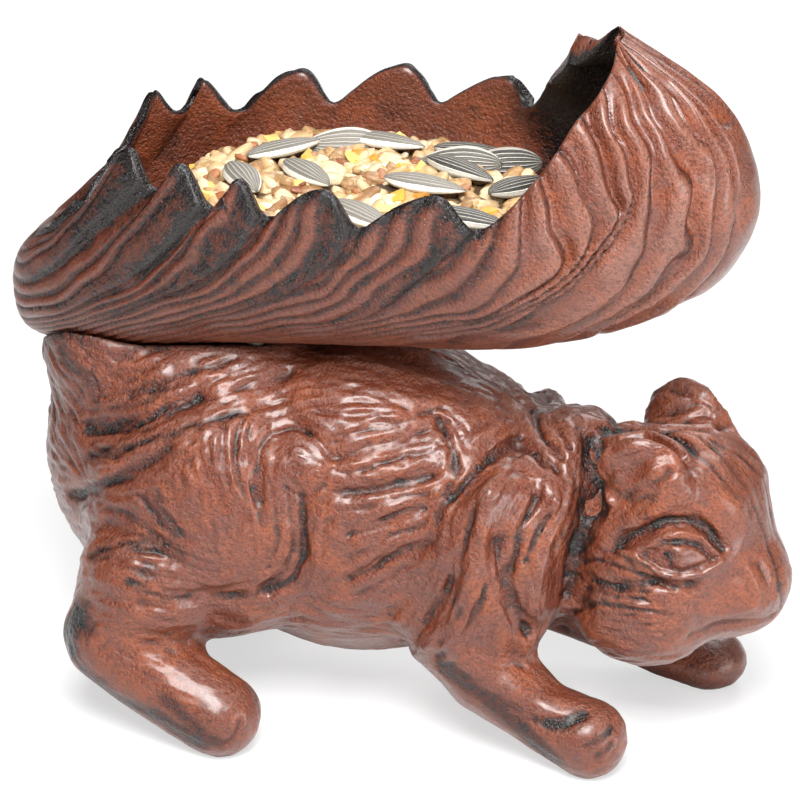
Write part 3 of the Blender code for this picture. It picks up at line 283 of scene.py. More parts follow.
# The locks of hair on the tail. Each row is the line where one lock laps over the next: its place along the
# tail, from 0 to 1, at each of these heights from the keel to the rim. The last value is how many strands
# the lock before it has. The five from FIRST_TOOTH_LOCK on end at the rim's notches.
LOCK_HEIGHTS = (0, 0.2, 0.3, 0.4, 0.5, 0.6, 0.7, 0.8, 0.9, 1.0)
LOCKS = (
    (-0.10, -0.08, -0.07, -0.06, -0.05, -0.04, -0.03, -0.02, -0.02, -0.02, 0),
    (0.02, 0.04, 0.05, 0.06, 0.07, 0.08, 0.09, 0.10, 0.10, 0.10, 2),
    (0.12, 0.14, 0.155, 0.17, 0.185, 0.195, 0.198, 0.200, 0.208, 0.213, 3),
    (0.18, 0.21, 0.23, 0.25, 0.265, 0.280, 0.295, 0.303, 0.303, 0.300, 3),
    (0.22, 0.255, 0.275, 0.29, 0.305, 0.325, 0.352, 0.363, 0.367, 0.362, 3),
    (0.27, 0.305, 0.325, 0.345, 0.365, 0.400, 0.430, 0.443, 0.450, 0.450, 4),
    (0.33, 0.365, 0.385, 0.410, 0.445, 0.490, 0.510, 0.530, 0.555, 0.577, 4),
    (0.38, 0.42, 0.45, 0.48, 0.520, 0.570, 0.690, 0.715, 0.715, 0.705, 4),
    (0.43, 0.47, 0.50, 0.53, 0.555, 0.625, 0.775, 0.805, 0.820, 0.835, 2),
    (0.48, 0.53, 0.56, 0.60, 0.700, 0.795, 0.833, 0.855, 0.875, 0.890, 1),
    (0.53, 0.58, 0.62, 0.710, 0.815, 0.850, 0.875, 0.910, 0.930, 0.950, 1),
    (0.57, 0.63, 0.67, 0.890, 0.910, 0.935, 0.950, 0.970, 1.00, 1.03, 1),
    (0.62, 0.690, 0.94, 0.975, 0.985, 0.99, 1.00, 1.02, 1.05, 1.08, 1),
    (0.95, 1.00, 1.03, 1.05, 1.06, 1.07, 1.08, 1.09, 1.10, 1.12, 1),
    (1.20, 1.25, 1.26, 1.27, 1.28, 1.29, 1.30, 1.31, 1.32, 1.33, 3),
)
FIRST_TOOTH_LOCK = 2
LOCK_LAP = 1.7  # how far a lock's front edge stands over the next, at the rim
STRAND_DEPTH = 1.1
STRAND_WANDER = 0.42  # how far the strands stray from even spacing, in strands
HAIR_CELLS = (5.0, 9.0)  # noise cells across one strand, and from the keel to the rim

# The feed.
SEED_TONES = (0.62, 0.06, 0.12, 0.50, 0.58, 0.60, 0.66, 0.14, 0.10, 0.60)  # from black to grey
SEED_LENGTH = 17.2
SEED_WIDTH = 7.0
SEED_THICKNESS = 3.6
SEED_RINGS = 30
SEED_SIDES = 28
WHEAT_COUNT = 520
WHEAT_SIZE = (3.3, 1.75, 1.5)
MAIZE_COUNT = 34
MAIZE_SIZE = (2.3, 1.9, 1.4)
CHAFF_COUNT = 70
CHAFF_SIZE = (1.7, 1.1, 0.7)
FEED_MARGIN = 1.6  # grains stay this far inside the bed's edge
BED_EDGE_HEIGHT = 104  # and only where the bed is at least this high
SEED_COVER = (0.46, 0.36)  # the share of a seed's length and width, from its middle, where no grain lies
EDGE_SEEDS = ((-17.0, 18.3, 16, 0.65), (8.3, 15.2, 10, 0.30), (16.0, 18.5, 24, 0.12))  # place, yaw and tone
EDGE_SEED_ROLL = math.radians(62)
EDGE_SEED_RISE = 0.24  # how far their middles are above the bed, in seed widths
GRAIN_SIZES = (0.82, 1.14)  # each of a grain's sizes is this much of its kind's, at random
GRAIN_TILT = 0.30  # the spread of their tilt, in radians
GRAIN_ROLL = 0.8  # the most that they roll, in radians
TRIES_PER_GRAIN = 40
CHIP_EDGE = math.radians(28)  # edges sharper than this stay sharp
ABOVE_FEED = 200  # a height that no feed reaches

# The iron's colours.
IRON_BROWN = (0.110, 0.020, 0.005)
IRON_ORANGE = (0.182, 0.038, 0.008)
IRON_DEEP = (0.030, 0.0045, 0.0012)
# A painted sheen: pink-grey laid on what faces up and stands proud, where the lamps' sheen shows.
PAINTED_SHEEN_PINK = (0.215, 0.088, 0.058)
IRON_BLACK = (0.004, 0.0035, 0.004)

# The studio.
FLOOR_REACH = 3000
FLOOR_DROP = 0.02  # how far the floor lies under the paws
FLOOR_WHITE = 0.62  # how much of the floor the camera sees as plain white, and not as lit
ROOM_COLOUR = (1, 0.99, 0.98, 1)
ROOM_STRENGTH = 0.08
LAMPS = (  # name, place, width, watts
    ("over", (130, -480, 680), 360, 15.0),
    ("beside", (820, -330, 130), 420, 5.4),
    ("behind", (60, 560, 560), 400, 3.5),
)
SCREWS = ("rear_body_screw", "front_body_screw", "right_tray_screw", "left_tray_screw", "right_tray_washer",
          "left_tray_washer")

RANDOM_TABLE = np.random.default_rng(11).uniform(-1, 1, 65536)


# Numbers over whole arrays of points.

def smooth_step(values, low, high):
    """0 up to low, 1 from high on, and 3t^2 - 2t^3 between."""
    part = np.clip((values - low) / (high - low), 0, 1)
    return part * part * (3 - 2 * part)


def lengths(vectors):
    return np.sqrt((vectors * vectors).sum(axis=-1))


def unit(vectors):
    return vectors / np.maximum(lengths(vectors), 1e-9)[..., None]


def value_noise(points, cell, seed):
    """Smooth random numbers from -1 to 1: random values at the corners of cells this wide, blended between.

    A corner's value comes from the table, at its three numbers and the seed times large primes, combined.
    """
    grid = points / cell
    low = np.floor(grid).astype(np.int64)
    part = grid - low
    part = part * part * (3 - 2 * part)
    total = np.zeros(len(points))
    for corner in range(8):
        step = np.array((corner >> 2 & 1, corner >> 1 & 1, corner & 1))
        lattice = low + step
        key = (lattice[:, 0] * 73856093 ^ lattice[:, 1] * 19349663 ^ lattice[:, 2] * 83492791
               ^ seed * 2654435)
        weight = np.where(step, part, 1 - part).prod(axis=1)
        total += weight * RANDOM_TABLE[key & 65535]
    return total


def layered_noise(points, layers):
    """The sum of noises, each given as its cell, height and seed."""
    return sum(value_noise(points, cell, seed) * height for cell, height, seed in layers)


def distance_to_line(points, line):
    """How far each point is from a line drawn through these places."""
    best = np.full(len(points), 1e9)
    if len(line) == 1:
        return lengths(points - line[0])
    for start, end in zip(line, line[1:]):
        along = end - start
        share = np.clip((points - start) @ along / (along @ along), 0, 1)
        best = np.minimum(best, lengths(points - start - share[:, None] * along))
    return best


def curve_through(stations, places):
    """A smooth (Catmull-Rom) curve through the stations, read at places counted in stations."""
    stations = np.array(stations, dtype=float)
    last = len(stations) - 1
    first = np.clip(places.astype(int), 0, last - 1)
    part = (places - first)[:, None]
    before = stations[np.maximum(first - 1, 0)]
    after = stations[np.minimum(first + 2, last)]
    start = stations[first]
    end = stations[first + 1]
    return (start + part * (end - before) / 2 + part ** 2 * (before - 2.5 * start + 2 * end - after / 2)
            + part ** 3 * (1.5 * (start - end) + (after - before) / 2))


# Meshes from arrays, and back.

def add_object(name, data):
    added = bpy.data.objects.new(name, data)
    bpy.context.scene.collection.objects.link(added)
    return added


def make_piece(name, points, faces, finish, body, replaced=()):
    """A mesh of points in millimetres, put where it is, riding on a body of the frame."""
    mesh = bpy.data.meshes.new(name)
    mesh.from_pydata(points * MM, [], faces)
    mesh.update()
    mesh.shade_smooth()
    mesh.materials.append(finish)
    piece = add_object(name, mesh)
    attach(piece, body)
    if replaced:
        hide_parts(*replaced)
    return piece


def face_outwards(piece):
    bm = bmesh.new()
    bm.from_mesh(piece.data)
    bmesh.ops.recalc_face_normals(bm, faces=bm.faces)
    bm.to_mesh(piece.data)
    bm.free()


def set_values(piece, name, values):
    """One number at each of the mesh's points, which a finish reads by name."""
    attribute = piece.data.attributes.new(name, "FLOAT", "POINT")
    attribute.data.foreach_set("value", np.ascontiguousarray(values, dtype=np.float32))


def with_modifiers(piece):
    """The piece's mesh as its modifiers leave it."""
    graph = bpy.context.evaluated_depsgraph_get()
    return bpy.data.meshes.new_from_object(piece.evaluated_get(graph), depsgraph=graph)


def solid_tree(node):
    """A solid's faces in metres, for finding the nearest place or what a ray meets."""
    bm = bmesh.new()
    bm.from_mesh(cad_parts[node].data)
    tree = BVHTree.FromBMesh(bm)
    bm.free()
    return tree


def in_millimetres(box):
    """A box's lowest and highest corner."""
    return (np.array(corner) / MM for corner in box)


def points_of(mesh):
    points = np.empty(len(mesh.vertices) * 3)
    mesh.vertices.foreach_get("co", points)
    return points.reshape(-1, 3) / MM


def quads_of(mesh):
    corners = np.empty(len(mesh.loops), dtype=np.int64)
    mesh.loops.foreach_get("vertex_index", corners)
    return corners.reshape(-1, 4)


def skin_normals(points, quads):
    """At each point the sum of its faces' crossed diagonals, made one long."""
    across = np.cross(points[quads[:, 2]] - points[quads[:, 0]], points[quads[:, 3]] - points[quads[:, 1]])
    total = np.zeros_like(points)
    for axis in range(3):
        total[:, axis] = np.bincount(quads.ravel(), weights=np.repeat(across[:, axis], 4),
                                     minlength=len(points))
    return unit(total)


def neighbour_mean(values, quads):
    """Each point's mean over the points that share an edge with it."""
    start = quads.ravel()
    end = np.roll(quads, -1, axis=1).ravel()
    count = np.bincount(start, minlength=len(values)) + np.bincount(end, minlength=len(values))
    total = (np.bincount(start, weights=values[end], minlength=len(values))
             + np.bincount(end, weights=values[start], minlength=len(values)))
    return total / np.maximum(count, 1)


def grid_quads(rows, columns):
    """Faces between neighbouring rows of a grid of points, as indices."""
    index = np.arange(rows * columns).reshape(rows, columns)
    corners = [index[:-1, :-1], index[:-1, 1:], index[1:, 1:], index[1:, :-1]]
    return np.stack(corners, axis=-1).reshape(-1, 4)


# Finishes.

class Value:
    """One socket of a finish. Arithmetic on it adds the Math nodes."""

    def __init__(self, finish, socket):
        self.finish = finish
        self.socket = socket

    def maths(self, operation, *values):
        return self.finish.node("ShaderNodeMath", {"operation": operation}, values)

    def __add__(self, other):
        return self.maths("ADD", self, other)

    def __sub__(self, other):
        return self.maths("SUBTRACT", self, other)

    def __rsub__(self, other):
        return self.maths("SUBTRACT", other, self)

    def __mul__(self, other):
        return self.maths("MULTIPLY", self, other)

    __radd__ = __add__
    __rmul__ = __mul__

    def between(self, low, high):
        """0 up to low, 1 from high on, smooth between."""
        return self.finish.node("ShaderNodeMapRange", {"interpolation_type": "SMOOTHSTEP"},
                                {"Value": self, "From Min": low, "From Max": high})


class Finish:
    """A material being put together around its Principled shader."""

    def __init__(self, name, **fixed):
        self.material = bpy.data.materials.new(name)
        self.material.use_nodes = True
        self.tree = self.material.node_tree
        self.shader = self.tree.nodes["Principled BSDF"]
        self.set(**fixed)
        self.place = self.node("ShaderNodeTexCoord", output="Object")

    def node(self, kind, settings=None, inputs=(), output=0):
        """Adds a node, sets it up, then gives its sockets their values or links."""
        made = self.tree.nodes.new(kind)
        for name, value in (settings or {}).items():
            setattr(made, name, value)
        pairs = inputs.items() if isinstance(inputs, dict) else enumerate(inputs)
        for key, value in pairs:
            self.feed(made.inputs[key], value)
        return Value(self, made.outputs[output])

    def feed(self, socket, value):
        if isinstance(value, Value):
            self.tree.links.new(value.socket, socket)
        else:
            socket.default_value = value

    def set(self, **sockets):
        for name, value in sockets.items():
            if isinstance(value, tuple) and len(value) == 3:
                value = (*value, 1)
            self.feed(self.shader.inputs[name.replace("_", " ")], value)

    def attribute(self, name):
        return self.node("ShaderNodeAttribute", {"attribute_name": name}, output="Fac")

    def noise(self, size, detail=2.0, rough=0.55, place=None):
        """Cloudy noise whose largest spots are about this many millimetres wide."""
        return self.node("ShaderNodeTexNoise", {}, {"Vector": place or self.place, "Scale": 1 / (size * MM),
                                                    "Detail": detail, "Roughness": rough})

    def cells(self, size):
        """How far the nearest of points strewn this many millimetres apart is, as a share of that."""
        return self.node("ShaderNodeTexVoronoi", {"feature": "F1"},
                         {"Vector": self.place, "Scale": 1 / (size * MM)})

    def mix(self, first, second, factor):
        """From the first colour to the second."""
        first, second = [(*c, 1) if isinstance(c, tuple) else c for c in (first, second)]
        return self.node("ShaderNodeMix", {"data_type": "RGBA"}, {0: factor, 6: first, 7: second}, output=2)

    def relief(self, height):
        """Bumps of this height, in millimetres."""
        bump = self.node("ShaderNodeBump", {}, {"Height": height, "Strength": 1.0, "Distance": MM})
        self.set(Normal=bump)


def cast_iron(name, strands=False):
    """Rust-brown cast iron, satin-dressed: black in hollows, painted shade and sheen, sand-cast grain and
    small pits.
    """
    iron = Finish(name, Specular_IOR_Level=0.4, Coat_Roughness=0.29)
    soot_and_shade = iron.attribute("soot_and_shade")
    painted_sheen = iron.attribute("painted_sheen")
    patches = iron.noise(9.0, 3.0, 0.6)
    speckle = iron.noise(1.6, 4.0, 0.72)
    pebbles = iron.noise(0.75, 1.5, 0.5)
    grain = iron.noise(0.40, 2.0, 0.6)
    pits = iron.cells(1.5)
    pit_places = iron.noise(5.0).between(0.48, 0.62) * (1 - pits.between(0.10, 0.26))
    # The black and the dark brown follow the soot value: black in hollows, and painted shade by the tray, low
    # down, on the rump and deep in the hood.
    black = soot_and_shade + (speckle - 0.5) * 2.3 + (patches - 0.5) * 0.8 - (pebbles - 0.5) * 0.5
    black = black.between(0.50, 0.88)
    deep = (soot_and_shade + (patches - 0.5) * 1.3 + (speckle - 0.5) * 0.6).between(0.10, 0.55)
    colour = iron.mix(IRON_BROWN, IRON_ORANGE, patches.between(0.42, 0.68))
    colour = iron.mix(colour, IRON_DEEP, deep * 0.8)
    # Painted sheen: pink-grey on what faces up and stands proud.
    colour = iron.mix(colour, PAINTED_SHEEN_PINK, painted_sheen * (0.12 + speckle * 0.5))
    colour = iron.mix(colour, IRON_DEEP, (1 - pebbles.between(0.34, 0.50)) * 0.5)
    colour = iron.mix(colour, IRON_BLACK, black * 0.94)
    height = grain * 0.20 + pebbles * 0.46 + speckle * 0.24 - pit_places * 0.28
    if strands:
        along = iron.node("ShaderNodeUVMap", {"uv_map": "locks"})
        hairs = iron.node("ShaderNodeTexNoise", {},
                          {"Vector": along, "Scale": 1.0, "Detail": 3.0, "Roughness": 0.6})
        height = height + hairs * 0.30
    else:
        height = height + iron.attribute("fur") * 0.06
    roughness = 0.46 + (grain - 0.5) * 0.3 + (patches - 0.5) * 0.3 - black * 0.18
    coat = (0.95 - patches * 0.8) * (1 - soot_and_shade.between(0.1, 0.6) * 0.7)
    iron.set(Base_Color=colour, Roughness=roughness, Coat_Weight=coat)
    iron.relief(height)
    return iron.material


def screw_steel():
    """Plated steel with fine turning marks and a brown bloom."""
    steel = Finish("screw_steel", Metallic=0.9)
    bloom = steel.noise(2.5, 3.0)
    marks = steel.noise(0.25, 2.0)
    steel.set(Base_Color=steel.mix((0.30, 0.29, 0.27), (0.13, 0.07, 0.045), bloom.between(0.48, 0.66)),
              Roughness=0.34 + marks * 0.22)
    steel.relief(marks * 0.03)
    return steel.material


def seed_husk():
    """A sunflower seed's shell: stripes along it, pale along its edges, on black or grey."""
    husk = Finish("seed_husk", Specular_IOR_Level=0.45)
    tone = husk.attribute("tone")
    across = husk.attribute("across")
    wander = (husk.noise(2.0, 2.0) - 0.5) * 0.10
    edge = (across.maths("ABSOLUTE", across) + wander).between(0.80, 0.92) * (0.45 + tone)
    lines = husk.node("ShaderNodeMath", {"operation": "SINE"}, ((across + wander * 0.6) * 24,))
    pale = (lines.between(0.86 - tone * 0.3, 1.0) * (0.9 - tone * 0.5) + edge).between(0.1, 0.9)
    fine = husk.noise(0.5, 3.0)
    ground = husk.mix((0.012, 0.011, 0.010), (0.26, 0.235, 0.20), tone + (fine - 0.5) * 0.35)
    colour = husk.mix(ground, (0.66, 0.62, 0.53), pale * (0.65 + fine * 0.5))
    husk.set(Base_Color=colour, Roughness=0.42 + fine * 0.2)
    husk.relief(lines * 0.05 + fine * 0.08)
    return husk.material


def kernel(name, pale, middle, deep, shine):
    """Grain with its own tone kernel by kernel, mealy and a little glossy."""
    skin = Finish(name, Specular_IOR_Level=0.5, Subsurface_Weight=0.15, Subsurface_Scale=0.0012)
    tone = skin.attribute("tone")
    fine = skin.noise(0.8, 3.0, 0.6)
    ground = skin.mix(pale, middle, tone.between(0.15, 0.6))
    ground = skin.mix(ground, deep, (tone + (fine - 0.5) * 0.6).between(0.72, 1.0))
    skin.set(Base_Color=ground, Roughness=shine + fine * 0.25)
    skin.relief(fine * 0.12)
    return skin.material


def feed_dust():
    """The small feed and dust down between the grains."""
    dust = Finish("feed_dust", Roughness=0.8)
    cells = dust.cells(2.6)
    fine = dust.noise(1.2, 3.0)
    # Painted shade: darker in the gaps between the small grains.
    between = cells.between(0.2, 0.6) * (0.5 + fine)
    dust.set(Base_Color=dust.mix((0.22, 0.125, 0.045), (0.06, 0.03, 0.012), between))
    dust.relief(fine * 0.5 - cells * 0.6)
    return dust.material


# The squirrel's body.

def joined_halves():
    """The two body solids as one mesh, with their joint faces pushed into each other."""
    bm = bmesh.new()
    for name in ("right_body_half", "left_body_half"):
        bm.from_mesh(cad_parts[name].data)
    bmesh.ops.remove_doubles(bm, verts=bm.verts, dist=1e-6)
    mesh = bpy.data.meshes.new("joined_halves")
    bm.to_mesh(mesh)
    bm.free()
    points = points_of(mesh)
    beside = beside_joint(points)
    near = np.abs(beside) < JOINT_REACH
    points[near, 1] -= np.sign(beside[near]) * JOINT_OVERLAP
    mesh.vertices.foreach_set("co", (points * MM).ravel())
    return mesh


def body_skin():
    """The joined halves made again from cubes of the skin's grain, and rounded: points and faces."""
    work = add_object("joined_halves", joined_halves())
    cubes = work.modifiers.new("Cubes", "REMESH")
    cubes.mode = "VOXEL"
    cubes.voxel_size = BODY_GRAIN * MM
    rounding = work.modifiers.new("Rounding", "SMOOTH")
    rounding.factor = 0.5
    rounding.iterations = BODY_ROUNDING
    skin = with_modifiers(work)
    bpy.data.objects.remove(work)
    return outer_shell(points_of(skin), quads_of(skin))


def outer_shell(points, quads):
    """The skin without the walls of the hollow inside it: only what hangs together with its lowest point.

    Each point starts with its own number. Every pass gives it the least number among its faces' corners.
    """
    label = np.arange(len(points))
    for _ in range(LABEL_PASSES):
        least = label[quads].min(axis=1)
        new = label.copy()
        np.minimum.at(new, quads.ravel(), np.repeat(least, 4))
        new = new[new]
        if (new == label).all():
            break
        label = new
    kept = label == label[points[:, 2].argmin()]
    number = np.cumsum(kept) - 1
    return points[kept], number[quads[kept[quads[:, 0]]]]


def beside_joint(points):
    """How far to the squirrel's left of the joint between the halves a point lies. The joint turns with the
    head."""
    ahead = np.maximum(points[:, 0] - HEAD_PIVOT_X, 0)
    return points[:, 1] - ahead * math.tan(HEAD_TURN)


def turned_head(points, sign):
    """The points turned about the neck by the head's own turn, there (1) or back (-1)."""
    turn = sign * HEAD_TURN
    ahead = points[:, 0] - HEAD_PIVOT_X
    return np.stack([HEAD_PIVOT_X + ahead * math.cos(turn) - points[:, 1] * math.sin(turn),
                     ahead * math.sin(turn) + points[:, 1] * math.cos(turn), points[:, 2]], axis=1)


def other_side(points, on_head):
    """The same places on the squirrel's left side, mirrored, on the head about the head's own middle."""
    flip = np.array((1, -1, 1))
    if on_head:
        return turned_head(turned_head(points, -1) * flip, 1)
    return points * flip


def drawn_on(tree, line):
    """Where the lines of sight through a drawn line's points meet the skin, in runs without a break."""
    eye = VIEW_TARGET + VIEW_BACK * VIEW_DISTANCE
    runs = []
    last = None
    for right, up in line:
        aim = VIEW_TARGET + VIEW_RIGHT * right + VIEW_UP * up - eye
        hit = tree.ray_cast(Vector(eye), Vector(aim))[0]
        if hit is None:
            last = None
            continue
        if last is None or (hit - last).length > LINE_BREAK:
            runs.append([])
        runs[-1].append(np.array(hit))
        last = hit
    return [np.array(run) for run in runs]


def on_skin(tree, places):
    """The nearest places on the skin, and the way it faces there on the whole."""
    found = [tree.find_nearest(Vector(place)) for place in places]
    return np.array([hit[0] for hit in found]), unit(np.sum([hit[1] for hit in found], axis=0))


def all_folds(tree):
    """Every fold of both sides, as its width, height, soot and painted shade, line on the skin and the way
    that it faces. On the far side ridges stay low."""
    folds = []
    for groups, on_head in ((FOLDS_ON_HEAD, True), (FOLDS_ON_TRUNK, False)):
        for width, height, soot_and_shade, line in (fold for group in groups for fold in group):
            far_height = min(height, FAR_RIDGE_LIMIT)
            for places in drawn_on(tree, line):
                folds.append((width, height, soot_and_shade, *on_skin(tree, places)))
                folds.append((width, far_height, soot_and_shade, *on_skin(tree, other_side(places, on_head))))
    return folds


def pressed(points, normals, folds):
    """Each fold adds its height times exp(-(distance / width)^2), and leaves its black, in places painted
    shade, over the same width.
    Skin that faces another way than the fold, such as an ear's other side, isn't touched."""
    height = np.zeros(len(points))
    soot_and_shade = np.zeros(len(points))
    for width, rise, black, line, facing in folds:
        reach = FOLD_REACH * width
        inside = (points > line.min(axis=0) - reach) & (points < line.max(axis=0) + reach)
        near = np.nonzero(inside.all(axis=1))[0]
        fall = np.exp(-(distance_to_line(points[near], line) / width) ** 2)
        fall *= smooth_step(normals[near] @ facing, *FOLD_FACING)
        height[near] += rise * fall
        soot_and_shade[near] = np.maximum(soot_and_shade[near], black * fall)
    return height, soot_and_shade


def rounded(points, quads, share, passes):
    """Each point moves this share of its way to its neighbours' mean, this many times."""
    for _ in range(passes):
        mean = np.stack([neighbour_mean(points[:, axis], quads) for axis in range(3)], axis=1)
        points = points + (mean - points) * share[:, None]
    return points


def fur_lie(points, normals, lines):
    """Which way the fur lies: the directions of all lines drawn, each weighing 1 / (distance^2 + 9)^2,
    combined as squares so that a line and its reverse count alike, and laid in the skin."""
    middles = []
    ways = []
    for line in lines:
        if len(line) > 1:
            middles.append((line[1:] + line[:-1]) / 2)
            ways.append(unit(line[1:] - line[:-1]))
    middles = np.concatenate(middles)
    ways = np.concatenate(ways)
    spread = np.zeros((len(points), 3, 3))
    for middle, way in zip(middles, ways):
        weight = 1 / (((points - middle) ** 2).sum(axis=1) + 9) ** 2
        spread += weight[:, None, None] * np.outer(way, way)
    lie = np.einsum("nij,j->ni", spread, np.array((0.8, 0.1, 0.6)))
    for _ in range(4):
        lie = unit(np.einsum("nij,nj->ni", spread, lie))
    return unit(lie - normals * (lie * normals).sum(axis=1)[:, None])


def fur_strokes(points, lie):
    """Noise smeared along the fur's lie: the mean of samples taken on either side along it, as high as 1 or
    so."""
    total = np.zeros(len(points))
    for step in np.linspace(-FUR_LENGTH / 2, FUR_LENGTH / 2, FUR_SAMPLES):
        total += value_noise(points + lie * step, FUR_WIDTH, 3)
        total += 0.6 * value_noise(points + lie * step * 1.6, FUR_WIDTH * 2.1, 8)
    return total / total.std()


def clear_of_tray(points):
    """0 where the skin touches the tray, and 1 from a few millimetres away on."""
    tray = solid_tree("tail_tray")
    clear = np.ones(len(points))
    for index in np.nonzero(points[:, 2] > TRAY_LEVEL)[0]:
        found = tray.find_nearest(Vector(points[index] * MM), TRAY_CLEAR * MM)
        if found[0] is not None:
            clear[index] = found[3] / (TRAY_CLEAR * MM)
    return smooth_step(clear, 0.12, 1)


def sculpted_body():
    """The body's skin with its folds and fur: points, faces, and the values that its finish reads."""
    points, quads = body_skin()
    points[:, 2] *= 1 - FAR_PAW_FLATNESS * on_far_paw(points)
    tree = BVHTree.FromPolygons(points.tolist(), quads.tolist())
    folds = all_folds(tree)
    clear = clear_of_tray(points)
    rise, soot_and_shade = pressed(points, skin_normals(points, quads), folds)
    rise = (rise + layered_noise(points, BODY_SWELLS)) * clear
    points = points + skin_normals(points, quads) * rise[:, None]
    points = rounded(points, quads, smooth_step(soot_and_shade, *GROOVE_SOOT), GROOVE_ROUNDING)
    eased = np.exp(-(distance_to_line(points, EASED_LINE) / EASED_WIDTH) ** 2)
    points = rounded(points, quads, eased, EASED_PASSES)
    normals = skin_normals(points, quads)
    combed = [run for line in COMBED for run in drawn_on(tree, line)]
    grooves = [line for _, height, _, line, _ in folds if height < 0]
    lines = grooves + combed + [other_side(line, False) for line in combed]
    fur = fur_strokes(points, fur_lie(points, normals, lines))
    fur_share = fur_cover(points) * clear
    points = points + normals * (np.clip(fur, -2, 2) * FUR_HEIGHT * fur_share)[:, None]
    return points, quads, body_values(points, quads, soot_and_shade, fur, fur_share, clear)


def body_values(points, quads, soot_and_shade, fur, fur_share, clear):
    """What the finish reads. Black gathers in hollows; by the tray, under the paws, on the back under the
    bowl and on the rump the same value is painted shade. The painted sheen is on what stands proud and faces
    up."""
    normals = skin_normals(points, quads)
    hollow = sum(neighbour_mean(points[:, axis], quads) * normals[:, axis] for axis in range(3))
    hollow -= (points * normals).sum(axis=1)
    for _ in range(3):
        hollow = neighbour_mean(hollow, quads)
    hollow /= hollow.std()
    soot_and_shade = soot_and_shade + 0.10 * np.clip(hollow, -1, 3) - 0.06 * np.clip(fur, -1.5, 1.5) * fur_share
    # Painted shade where the skin meets the tray, and on the lowest few millimetres under the paws.
    soot_and_shade += 0.55 * (1 - clear) + 0.25 * smooth_step(-points[:, 2], -9, -2)
    # Painted shade on the back under the bowl and on the rump.
    soot_and_shade += 0.16 * smooth_step(points[:, 2], 40, 66) * smooth_step(-points[:, 0], 15, 60)
    soot_and_shade += 0.16 * smooth_step(-points[:, 0], 45, 70)
    # A painted sheen: lighter pink where the skin faces up and stands proud.
    painted_sheen = smooth_step(normals[:, 2], 0.1, 0.9) * smooth_step(-hollow, -0.6, 1.2)
    return {"soot_and_shade": soot_and_shade, "painted_sheen": painted_sheen, "fur": fur * fur_share}


def on_far_paw(points):
    """1 on the left front paw, which is flatter than the others, and 0 away from it."""
    return (smooth_step(points[:, 0], 36, 54) * smooth_step(points[:, 1], 4, 9)
            * (1 - smooth_step(points[:, 2], 16, 20)))


def fur_cover(points):
    """How strong the fur is: full on the trunk, less on the legs and at the muzzle."""
    trunk = smooth_step(points[:, 2], 14, 30)
    ahead = turned_head(points, -1)[:, 0]
    muzzle = smooth_step(ahead, 62, 74) * 0.65
    return (0.35 + 0.65 * trunk) * (1 - muzzle)


def cap_cut(piece):
    """Closes a half along its joint face."""
    bm = bmesh.new()
    bm.from_mesh(piece.data)
    open_edges = [edge for edge in bm.edges if edge.is_boundary]
    bmesh.ops.holes_fill(bm, edges=open_edges, sides=0)
    bm.to_mesh(piece.data)
    bm.free()


def thin_out(piece):
    """Collapses the flattest places' edges first, until the piece has a half's share of triangles."""
    thinning = piece.modifiers.new("Thinning", "DECIMATE")
    thinning.ratio = HALF_FACES / (2 * len(piece.data.polygons))
    mesh = with_modifiers(piece)
    piece.modifiers.clear()
    piece.data = mesh


def add_body(finish):
    """The body's skin parted at the joint: the points on the edge between the halves are moved onto it."""
    points, quads, values = sculpted_body()
    lowest, highest = in_millimetres(cad_box)
    points = np.clip(points, lowest, highest)
    beside = beside_joint(points)
    left = beside[quads].mean(axis=1) > 0
    edge = np.intersect1d(quads[left].ravel(), quads[~left].ravel())
    points[edge, 1] -= beside[edge]
    for name, chosen in (("left", left), ("right", ~left)):
        used = np.unique(quads[chosen])
        number = np.zeros(len(points), dtype=np.int64)
        number[used] = np.arange(len(used))
        faces = number[quads[chosen]].tolist()
        piece = make_piece(f"{name}_body_casting", points[used], faces, finish, "casting",
                           (f"{name}_body_half",))
        for value, numbers in values.items():
            set_values(piece, value, numbers[used])
        thin_out(piece)
        cap_cut(piece)


# The tail.

def tooth_heights(rim_x, teeth):
    """The saw teeth rounded: the mean of their heights a little behind and ahead."""
    offsets = np.linspace(-TIP_ROUNDING, TIP_ROUNDING, 7)
    return np.mean([sharp_teeth(rim_x + offset, teeth) for offset in offsets], axis=0)


def sharp_teeth(rim_x, teeth):
    """Saw teeth along a rim: each swells as a quarter sine up to its tip and then drops to its notch."""
    places = [teeth[0][0] - FIRST_TOOTH_RUN]
    shares = [0.0]
    for tip, notch in teeth:
        places += [tip, notch]
        shares += [1.0, 0.0]
    share = np.interp(rim_x, places, shares)
    past_tip = np.any([(rim_x > tip) & (rim_x < notch) for tip, notch in teeth], axis=0)
    return TOOTH_HEIGHT * np.where(past_tip, smooth_step(share, -0.1, 1.0), np.sin(math.pi / 2 * share))


def tail_side(rim_stations, teeth, along, reach):
    """One side of the tail: from the keel, each ring is a quarter of an ellipse up to the rim, or more in
    the hood.

    Across: the rim's distance times sin(angle) / sin(end). Forward and up: its distance from the keel times
    (1 - cos(angle)) / (1 - cos(end)). The teeth lift the skin by their height times reach^5.
    """
    places = along * (len(KEEL) - 1)
    keel = curve_through(KEEL, places)
    rim = curve_through(rim_stations, places)
    stations = np.arange(len(KEEL))
    curl = np.clip((stations - HOOD_START) / (HOOD_FULL - HOOD_START), 0, 1)
    end = np.radians(curve_through((90 + (HOOD_ARC - 90) * curl)[:, None], places))
    angle = end * reach
    up = (1 - np.cos(angle)) / (1 - np.cos(end))
    points = keel[:, None, :] + (rim - keel)[:, None, :] * up[..., None]
    points[..., 1] = rim[:, 1:2] * np.sin(angle) / np.sin(end)
    points[..., 2] += tooth_heights(rim[:, 0], teeth)[:, None] * reach ** 5
    return points


